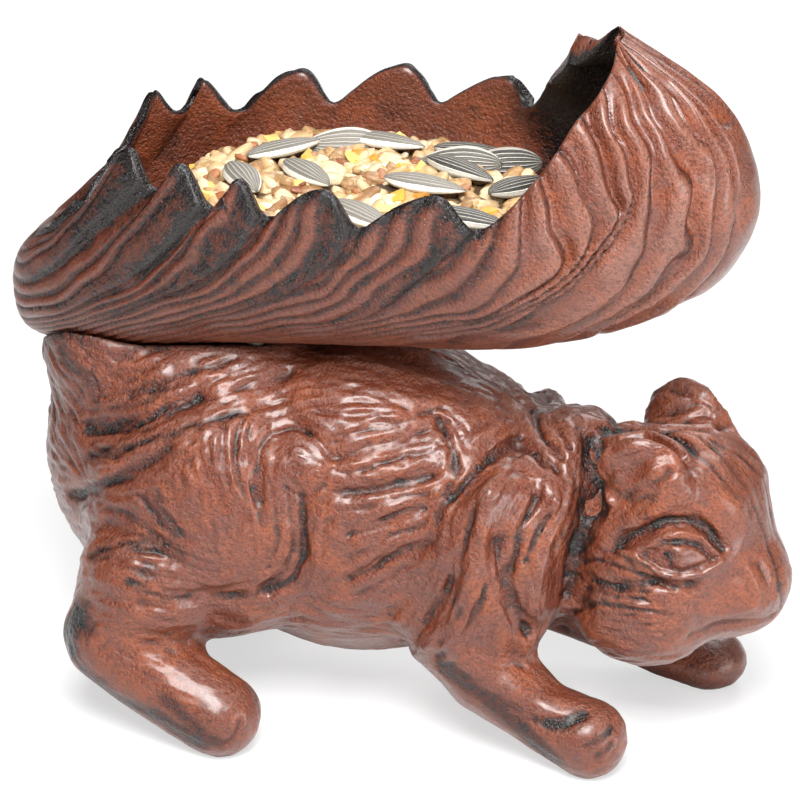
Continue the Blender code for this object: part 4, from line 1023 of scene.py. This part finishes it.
def both_sides(right, left):
    """Two grids that start at the keel as one, each ring from the right rim round to the left."""
    return np.concatenate([right[:, ::-1], left[:, 1:]], axis=1)


def tail_grid(along, reach):
    """Both sides as one grid of points, and its outward normals."""
    right = tail_side(RIGHT_RIM, RIGHT_TEETH, along, reach)
    left = tail_side(LEFT_RIM, LEFT_TEETH, along, reach)
    skin = both_sides(right, left)
    outward = unit(np.cross(np.gradient(skin, axis=1), np.gradient(skin, axis=0)))
    return skin, outward


def lock_lines(along, reach, rim_stations, teeth):
    """At each point, how many locks and how many strands lie behind it: read off between the lock lines,
    which are moved so that they end at this rim's own notches."""
    rows = np.array([row[:-1] for row in LOCKS])
    strands = np.cumsum([row[-1] for row in LOCKS])
    rim_x = curve_through(rim_stations, along * (len(KEEL) - 1))[:, 0]
    before_hood = slice(0, int(0.7 * len(along)))
    for index, (_, notch) in enumerate(teeth):
        here = np.interp(notch, rim_x[before_hood], along[before_hood])
        row = FIRST_TOOTH_LOCK + index
        rows[row] += (here - rows[row, -1]) * np.array(LOCK_HEIGHTS)
    lock = np.empty((len(along), len(reach)))
    strand = np.empty_like(lock)
    for column, height in enumerate(reach):
        places = [np.interp(height, LOCK_HEIGHTS, row) for row in rows]
        lock[:, column] = np.interp(along, places, np.arange(len(rows)))
        strand[:, column] = np.interp(along, places, strands)
    return lock, strand


def tail_relief(lock, strand, along, reach):
    """The locks as shingles, highest at their front edge, and the strands as rounded ridges with a steeper
    front, all of it cut into the skin. Also how black each place is, and where a painted sheen lies on the
    ridges."""
    along = along[:, None]
    bowl = 1 - smooth_step(along, 0.56, 0.66)
    hood = 1 - bowl
    lap = (lock % 1) ** 1.2 * (1 - smooth_step(lock % 1, 0.93, 1.0))
    turn = strand % 1
    bowl_ridge = smooth_step(turn, 0.0, 0.55) * (1 - smooth_step(turn, 0.72, 1.0))
    hood_ridge = smooth_step(turn, 0.12, 0.62) * (1 - smooth_step(turn, 0.78, 1.0))
    ridge = bowl_ridge * bowl + hood_ridge * hood
    strand_size = 0.75 + 0.25 * np.sin(np.floor(strand) * 2.4)
    near_keel = smooth_step(reach, 0.02, 0.3)
    at_rim = smooth_step(reach, 0.3, 0.9)
    depth = STRAND_DEPTH * strand_size * (0.2 + 0.8 * near_keel) * (0.8 + 1.25 * hood)
    depth = depth * (0.25 + 0.75 * smooth_step(along + 0.35 * reach, 0.15, 0.45))
    depth = depth * (1 - 0.85 * smooth_step(along, 0.78, 0.90) * smooth_step(reach, 0.75, 1.0))
    height = -(1 - ridge) * depth * (1 - 0.3 * smooth_step(along, 0.9, 1.0))
    height = height - (1 - lap) * LOCK_LAP * at_rim * bowl
    line = np.exp(-((turn - 0.93) / 0.07) ** 2)
    soot_and_shade = ((1 - ridge) ** 1.5 * 0.50 * bowl + line * 0.58 * hood) * (0.3 + 0.7 * near_keel)
    front = smooth_step(lock % 1, 0.70, 0.92) * (1 - smooth_step(lock % 1, 0.97, 1.0))
    soot_and_shade += bowl * at_rim * front * 0.62
    soot_and_shade += 0.16 * bowl * smooth_step(reach, 0.3, 0.7)
    soot_and_shade += (0.5 * bowl + 0.15) * smooth_step(reach, 0.96, 1.0) * (1 - smooth_step(along, 0.93, 0.97))
    soot_and_shade += 0.22 * (1 - smooth_step(along, 0.15, 0.5)) * (0.4 + 0.6 * smooth_step(reach, 0.3, 0.9))
    # A painted sheen on the ridges' tops, most on the hood.
    painted_sheen = ridge * (0.10 + 1.1 * hood) * (0.3 + 0.7 * near_keel)
    return height, soot_and_shade, painted_sheen


def border(rows, columns):
    """The indices round the edge of a grid, in order."""
    index = np.arange(rows * columns).reshape(rows, columns)
    return np.concatenate([index[0, :-1], index[:-1, -1], index[-1, :0:-1], index[:0:-1, 0]])


def loop_pairs(loop):
    return np.stack([loop, np.roll(loop, -1)], axis=1)


def wall_thickness(along, reach):
    """How thick the tail is at each point: thin at the tip, thick at the hood's edge."""
    rise = np.concatenate([reach[::-1], reach[1:]])
    hood = smooth_step(along, 0.66, 0.72) * (1 - smooth_step(along, 0.86, 0.93))
    lip = hood[:, None] * smooth_step(rise, 0.82, 1)
    return TRAY_WALL * (1 - TIP_THINNING * smooth_step(along, 0.86, 0.985))[:, None] + HOOD_LIP * lip


def locks_of(skin, along, reach):
    """The relief, soot and rub of the locks at each point, and the strand's number, below zero on the
    right."""
    rims = ((RIGHT_RIM, RIGHT_TEETH), (LEFT_RIM, LEFT_TEETH))
    sides = [lock_lines(along, reach, rim, teeth) for rim, teeth in rims]
    stray = STRAND_WANDER * value_noise(skin.reshape(-1, 3), 8.0, 22).reshape(skin.shape[:2])
    sides = [(lock, strand + moved) for (lock, strand), moved
             in zip(sides, (stray[:, TAIL_STEPS::-1], stray[:, TAIL_STEPS:]))]
    reliefs = [tail_relief(lock, strand, along, reach) for lock, strand in sides]
    height, soot_and_shade, painted_sheen = (both_sides(right, left) for right, left in zip(*reliefs))
    return height, soot_and_shade, painted_sheen, both_sides(-sides[0][1], sides[1][1])


def inner_skin(inside, outward):
    """The inside as cast: a little uneven, with a raised pad under each tray screw."""
    inside = inside + outward * layered_noise(inside, INNER_SWELLS)[:, None]
    for side in (-1, 1):
        off = lengths(inside[:, :2] - (PAD_PLACE[0], side * PAD_PLACE[1]))
        low = inside[:, 2] < PADS_BELOW
        inside[:, 2] += low * PAD_RISE * (1 - smooth_step(off, PAD_RADIUS - PAD_EDGE, PAD_RADIUS + PAD_EDGE))
    return inside


def closed_shell(outer, inside, inner_grid, lowest, highest):
    """Both skins and a rounded edge between them: the outer skin's border, a crest halfway across the wall
    and a little further out, and the inner skin's border, with two steps to its one. Points, faces and the
    outer border."""
    rows, columns = outer.shape[:2]
    small_rows, small_columns = inner_grid
    outside = outer.reshape(-1, 3)
    loop = border(rows, columns)
    small_loop = border(small_rows, small_columns) + len(outside)
    behind = np.concatenate([outer[1, :-1], outer[:-1, -2], outer[-2, :0:-1], outer[:0:-1, 1]])
    points = np.concatenate([outside, inside])
    matching = np.repeat(small_loop, 2)
    partner = (points[matching] + points[np.roll(matching, -1)]) / 2
    edge_way = unit(outside[loop] - behind)
    crest = np.clip((outside[loop] + partner) / 2 + edge_way * CREST_RISE, lowest, highest)
    crest_loop = np.arange(len(loop)) + len(points)
    points = np.concatenate([points, crest])

    faces = grid_quads(rows, columns).tolist()
    faces += (grid_quads(small_rows, small_columns) + len(outside))[:, ::-1].tolist()
    faces += np.concatenate([loop_pairs(loop), loop_pairs(crest_loop)[:, ::-1]], axis=1).tolist()
    even, odd = crest_loop[0::2], crest_loop[1::2]
    small_next = np.roll(small_loop, -1)
    faces += np.stack([small_loop, even, odd], axis=1).tolist()
    faces += np.stack([small_loop, odd, small_next], axis=1).tolist()
    faces += np.stack([small_next, odd, np.roll(even, -1)], axis=1).tolist()
    return points, faces, loop


def add_tail(finish):
    """The tail tray: an outer skin with its locks, a plainer inner skin a wall's thickness inside it with
    half as many points, and a rounded edge between the two."""
    along = np.linspace(0, 1, TAIL_RINGS + 1)
    reach = np.linspace(0, 1, TAIL_STEPS + 1)
    skin, outward = tail_grid(along, reach)
    lowest, highest = in_millimetres(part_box("tail_tray"))
    flat = skin.reshape(-1, 3)
    skin = skin + ((lowest + highest) / 2 - (flat.min(axis=0) + flat.max(axis=0)) / 2) * (1, 1, 0)
    height, soot_and_shade, painted_sheen, strand = locks_of(skin, along, reach)
    wander = value_noise(skin.reshape(-1, 3), 3.5, 21).reshape(height.shape)
    outer = skin + outward * (height * (1 + 0.25 * wander) - 0.12 + 0.10 * wander)[..., None]
    outer = np.clip(outer, lowest, highest)
    inner = (skin - outward * wall_thickness(along, reach)[..., None])[::2, ::2]
    inside = inner_skin(inner.reshape(-1, 3), outward[::2, ::2].reshape(-1, 3))
    inside = np.clip(inside, lowest, highest)

    points, faces, loop = closed_shell(outer, inside, inner.shape[:2], lowest, highest)
    piece = make_piece("tail_casting", points, faces, finish, "casting", ("tail_tray",))
    face_outwards(piece)
    # Deep in the hood the inside darkens: black there, and painted shade for the shadow inside the hood.
    deep = smooth_step(inside[:, 0] + 0.35 * (inside[:, 2] - 118), 12, 38)
    inner_soot_and_shade = 0.12 + 1.6 * deep + 0.26 * value_noise(inside, 9, 33) + 0.12 * value_noise(inside, 4, 34)
    along_loop = np.repeat(along, outer.shape[1])[loop]
    cut_soot = soot_and_shade.ravel()[loop] + 0.3 - 0.6 * smooth_step(along_loop, 0.60, 0.68)
    set_values(piece, "soot_and_shade", np.concatenate([soot_and_shade.ravel(), inner_soot_and_shade, cut_soot]))
    # A faint painted sheen on the inside, none deep in the hood.
    set_values(piece, "painted_sheen", np.concatenate([painted_sheen.ravel(), 0.2 * (1 - deep), painted_sheen.ravel()[loop]]))
    lay_out_locks(piece, strand, reach, len(inside), loop)


def lay_out_locks(piece, strand, reach, inner_count, loop):
    """The map that fine hairs follow: across is the strand's number and along is how far up it is, each
    times a count of noise cells. Hairs come out long and thin, as a cell is narrow across and tall along."""
    rise = np.concatenate([reach[::-1], reach[1:]])[None, :].repeat(len(strand), axis=0)
    across = strand.ravel() * HAIR_CELLS[0]
    along = rise.ravel() * HAIR_CELLS[1]
    plain = np.linspace(0, 60, inner_count)
    spots = np.stack([np.concatenate([across, plain * 7, across[loop]]),
                      np.concatenate([along, plain * 0, along[loop]])], axis=1)
    corners = np.empty(len(piece.data.loops), dtype=np.int64)
    piece.data.loops.foreach_get("vertex_index", corners)
    layer = piece.data.uv_layers.new(name="locks")
    layer.data.foreach_set("uv", np.ascontiguousarray(spots[corners], dtype=np.float32).ravel())


# The feed.

def seed_shape():
    """A flat shell, pointed behind and blunter in front: rings along it, each a lens across.

    With s from 1 behind to 0 in front, the half width is sin(pi s^0.82)^0.72. Round each ring, across is
    cos(t) and up is sin(t) |sin(t)|^0.35, with low ribs along it.
    """
    along = np.linspace(0.012, 0.988, SEED_RINGS)
    around = np.linspace(0, 2 * math.pi, SEED_SIDES, endpoint=False)
    width = np.sin(math.pi * (1 - along) ** 0.82) ** 0.72
    across = width[:, None] * np.cos(around)
    rise = width[:, None] ** 0.8 * np.sin(around) * np.abs(np.sin(around)) ** 0.35
    rise = rise * (1 - 0.10 * np.cos(9 * np.pi * np.cos(around)) * 0.5)
    length = np.broadcast_to((along - 0.5)[:, None] * SEED_LENGTH, across.shape)
    ring = np.stack([length, across * SEED_WIDTH / 2, rise * SEED_THICKNESS / 2], axis=-1).reshape(-1, 3)
    ends = np.array(((-0.5 * SEED_LENGTH, 0, 0), (0.5 * SEED_LENGTH, 0, 0)))
    points = np.concatenate([ring, ends])
    spread = np.concatenate([np.broadcast_to(np.cos(around), across.shape).ravel(), (0, 0)])
    return points, round_faces(len(along), len(around)), spread


def round_faces(rings, sides):
    """Quads round a closed row of rings, and a fan at each end to the two points that follow the rings."""
    index = np.arange(rings * sides).reshape(rings, sides)
    after = np.roll(index, -1, axis=1)
    quads = np.stack([index[:-1], after[:-1], after[1:], index[1:]], axis=-1).reshape(-1, 4).tolist()
    first = [(rings * sides, b, a) for a, b in zip(index[0], after[0])]
    last = [(rings * sides + 1, a, b) for a, b in zip(index[-1], after[-1])]
    return quads + [tuple(map(int, face)) for face in first + last]


def solid_axes(node):
    """The middle of a solid and its long, wide and thin directions, as rows."""
    points = points_of(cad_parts[node].data)
    middle = (points.min(axis=0) + points.max(axis=0)) / 2
    _, _, axes = np.linalg.svd(points - points.mean(axis=0), full_matrices=False)
    heavy = ((points - middle) @ axes[0]).mean()
    axes[0] *= -1 if heavy > 0 else 1
    axes[2] *= 1 if axes[2][2] > 0 else -1
    axes[1] = np.cross(axes[2], axes[0])
    return middle, axes


def add_seed(name, middle, axes, tone, finish, replaced=()):
    points, faces, spread = seed_shape()
    piece = make_piece(name, points @ axes + middle, faces, finish, "feed", replaced)
    face_outwards(piece)
    set_values(piece, "tone", np.full(len(points), tone))
    set_values(piece, "across", spread)
    return middle, axes[0]


def bed_top(bed, x, y):
    hit = bed.ray_cast(Vector((x, y, ABOVE_FEED)) * MM, Vector((0, 0, -1)))[0]
    return None if hit is None else hit.z / MM


def turn_matrix(yaw, tilt, roll):
    turns = Matrix.Rotation(yaw, 3, "Z") @ Matrix.Rotation(tilt, 3, "Y") @ Matrix.Rotation(roll, 3, "X")
    return np.array(turns)


def add_seeds(bed, finish):
    """The seeds that have solids lie where those are; a few more stand on edge among them."""
    laid = []
    for number, tone in enumerate(SEED_TONES, 1):
        node = f"sunflower_seed_{number:02d}"
        middle, axes = solid_axes(node)
        laid.append(add_seed(f"striped_seed_{number:02d}", middle, axes, tone, finish, (node,)))
    for number, (x, y, yaw, tone) in enumerate(EDGE_SEEDS, 1):
        middle = np.array((x, y, bed_top(bed, x, y) + SEED_WIDTH * EDGE_SEED_RISE))
        axes = turn_matrix(math.radians(yaw), 0, EDGE_SEED_ROLL).T
        laid.append(add_seed(f"seed_on_edge_{number:02d}", middle, axes, tone, finish))
    return laid


def kernel_shape(rings, sides, crease, chip):
    """A small closed egg: half width sin(pi s)^0.6, with a crease along its top or its sides knocked flat."""
    along = (np.arange(rings) + 0.7) / (rings + 0.4)
    around = np.linspace(0, 2 * math.pi, sides, endpoint=False)
    width = np.sin(math.pi * along) ** 0.6
    across = width[:, None] * np.cos(around)
    rise = width[:, None] * (np.sin(around) - crease * np.exp(-((around - math.pi / 2) / 0.35) ** 2))
    length = np.broadcast_to(np.cos(math.pi * along)[:, None], across.shape)
    points = np.stack([length, across, rise], axis=-1)
    points = np.concatenate([points.reshape(-1, 3), ((1, 0, 0), (-1, 0, 0))])
    if chip:
        points = np.clip(points * 1.25, (-0.85, -0.75, -0.7), (0.7, 0.85, 0.8))
        points = points + chip * value_noise(points + 3, 0.9, 40)[:, None] * points
    return points, round_faces(rings, sides)


def grain_places(random, count, bed, seeds, height):
    """Places strewn this far above the bed, none near its edge or on a seed."""
    lowest, highest = in_millimetres(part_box("grain_bed"))
    found = 0
    for _ in range(TRIES_PER_GRAIN * count):
        x, y = random.uniform(lowest[:2], highest[:2])
        top = bed_top(bed, x, y)
        if top is None or top < BED_EDGE_HEIGHT or not inside_edge(bed, x, y):
            continue
        spot = np.array((x, y, top + random.uniform(*height)))
        if any(on_seed(spot, middle, way) for middle, way in seeds):
            continue
        yield spot
        found += 1
        if found == count:
            return


def scatter(name, count, half_sizes, shape, bed, seeds, finish, seed, height, flat=False):
    """Grains strewn over the bed: each is the shape turned and sized at random. A flat one keeps its
    edges."""
    random = np.random.default_rng(seed)
    base, faces = shape
    points = []
    tones = []
    for spot in grain_places(random, count, bed, seeds, height):
        turn = turn_matrix(random.uniform(0, 2 * math.pi), random.normal(0, GRAIN_TILT),
                           random.uniform(-GRAIN_ROLL, GRAIN_ROLL))
        size = np.array(half_sizes) * random.uniform(*GRAIN_SIZES, 3)
        points.append((base * size) @ turn.T + spot)
        tones.append(np.full(len(base), random.uniform(0, 1)))
    all_faces = [[corner + first for corner in face]
                 for first in range(0, len(base) * len(points), len(base)) for face in faces]
    piece = make_piece(name, np.concatenate(points), all_faces, finish, "feed")
    if flat:
        piece.data.set_sharp_from_angle(angle=CHIP_EDGE)
    set_values(piece, "tone", np.concatenate(tones))
    face_outwards(piece)


def inside_edge(bed, x, y):
    return all(bed_top(bed, x + dx, y + dy) is not None
               for dx, dy in ((FEED_MARGIN, 0), (-FEED_MARGIN, 0), (0, FEED_MARGIN), (0, -FEED_MARGIN)))


def on_seed(spot, middle, way):
    off = spot - middle
    along = off @ way
    aside = lengths(off[:2] - along * way[:2])
    return abs(along) < SEED_LENGTH * SEED_COVER[0] and aside < SEED_WIDTH * SEED_COVER[1]


def add_feed():
    """All the loose feed."""
    bed = solid_tree("grain_bed")
    seeds = add_seeds(bed, seed_husk())
    wheat = kernel("wheat", (0.62, 0.47, 0.29), (0.47, 0.30, 0.14), (0.24, 0.12, 0.05), 0.34)
    maize = kernel("maize", (0.70, 0.52, 0.17), (0.62, 0.33, 0.05), (0.46, 0.18, 0.03), 0.30)
    chaff = kernel("chaff", (0.66, 0.58, 0.40), (0.30, 0.11, 0.04), (0.13, 0.035, 0.02), 0.4)
    egg = kernel_shape(7, 8, 0.35, 0)
    chip = kernel_shape(5, 7, 0, 0.35)
    scatter("wheat_grains", WHEAT_COUNT, WHEAT_SIZE, egg, bed, seeds, wheat, 1, (-0.6, 0.9))
    scatter("cracked_maize", MAIZE_COUNT, MAIZE_SIZE, chip, bed, seeds, maize, 2, (0.2, 1.4), flat=True)
    scatter("chaff_and_millet", CHAFF_COUNT, CHAFF_SIZE, egg, bed, seeds, chaff, 3, (0.7, 1.7))
    keep_solid("grain_bed", feed_dust())


def keep_solid(node, finish):
    """A solid whose shape is right as it is, in a better finish."""
    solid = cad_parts[node]
    solid.data.materials.clear()
    solid.data.materials.append(finish)


# The studio.

def partly_white(finish):
    """The finish as it is lit, which the camera sees mixed with plain white."""
    lit = Value(finish, finish.shader.outputs[0])
    white = finish.node("ShaderNodeEmission", {}, {"Color": (1, 1, 1, 1), "Strength": 1})
    seen = finish.node("ShaderNodeLightPath", output="Is Camera Ray")
    return finish.node("ShaderNodeMixShader", {}, (seen * FLOOR_WHITE, lit, white))


def add_floor():
    corners = [(x * FLOOR_REACH, y * FLOOR_REACH, -FLOOR_DROP)
               for x, y in ((-1, -1), (1, -1), (1, 1), (-1, 1))]
    mesh = bpy.data.meshes.new("floor")
    mesh.from_pydata(np.array(corners) * MM, [], [(0, 1, 2, 3)])
    floor = add_object("floor", mesh)
    paint = Finish("floor", Base_Color=(0.86, 0.86, 0.86), Roughness=0.9)
    paint.feed(paint.tree.nodes["Material Output"].inputs["Surface"], partly_white(paint))
    mesh.materials.append(paint.material)


def add_room():
    """A dim room, which the camera sees as plain white."""
    world = bpy.data.worlds.new("studio")
    bpy.context.scene.world = world
    world.use_nodes = True
    nodes = world.node_tree.nodes
    links = world.node_tree.links
    room = nodes["Background"]
    room.inputs["Color"].default_value = ROOM_COLOUR
    room.inputs["Strength"].default_value = ROOM_STRENGTH
    seen = nodes.new("ShaderNodeBackground")
    seen.inputs["Color"].default_value = (1, 1, 1, 1)
    path = nodes.new("ShaderNodeLightPath")
    blend = nodes.new("ShaderNodeMixShader")
    links.new(path.outputs["Is Camera Ray"], blend.inputs[0])
    links.new(room.outputs[0], blend.inputs[1])
    links.new(seen.outputs[0], blend.inputs[2])
    links.new(blend.outputs[0], nodes["World Output"].inputs["Surface"])


def add_lamps():
    """Soft lamps, aimed at what the camera looks at."""
    for name, place, width, power in LAMPS:
        lamp = bpy.data.lights.new(name, "AREA")
        lamp.shape = "SQUARE"
        lamp.size = width * MM
        lamp.energy = power
        holder = add_object(name, lamp)
        holder.location = Vector(place) * MM
        aim = Vector(VIEW_TARGET) * MM - holder.location
        holder.rotation_euler = aim.to_track_quat("-Z", "Y").to_euler()


def add_camera():
    data = bpy.data.cameras.new("camera")
    data.sensor_width = SENSOR
    data.lens = SENSOR * VIEW_DISTANCE / VIEW_WIDTH
    camera = add_object("camera", data)
    turn = Matrix((VIEW_RIGHT, VIEW_UP, VIEW_BACK)).transposed().to_4x4()
    camera.matrix_world = Matrix.Translation((VIEW_TARGET + VIEW_BACK * VIEW_DISTANCE) * MM) @ turn
    bpy.context.scene.camera = camera


bpy.context.scene.view_settings.view_transform = "Standard"
add_camera()
add_floor()
add_room()
add_lamps()
add_body(cast_iron("body_iron"))
add_tail(cast_iron("tray_iron", strands=True))
add_feed()
steel = screw_steel()
for screw in SCREWS:
    keep_solid(screw, steel)
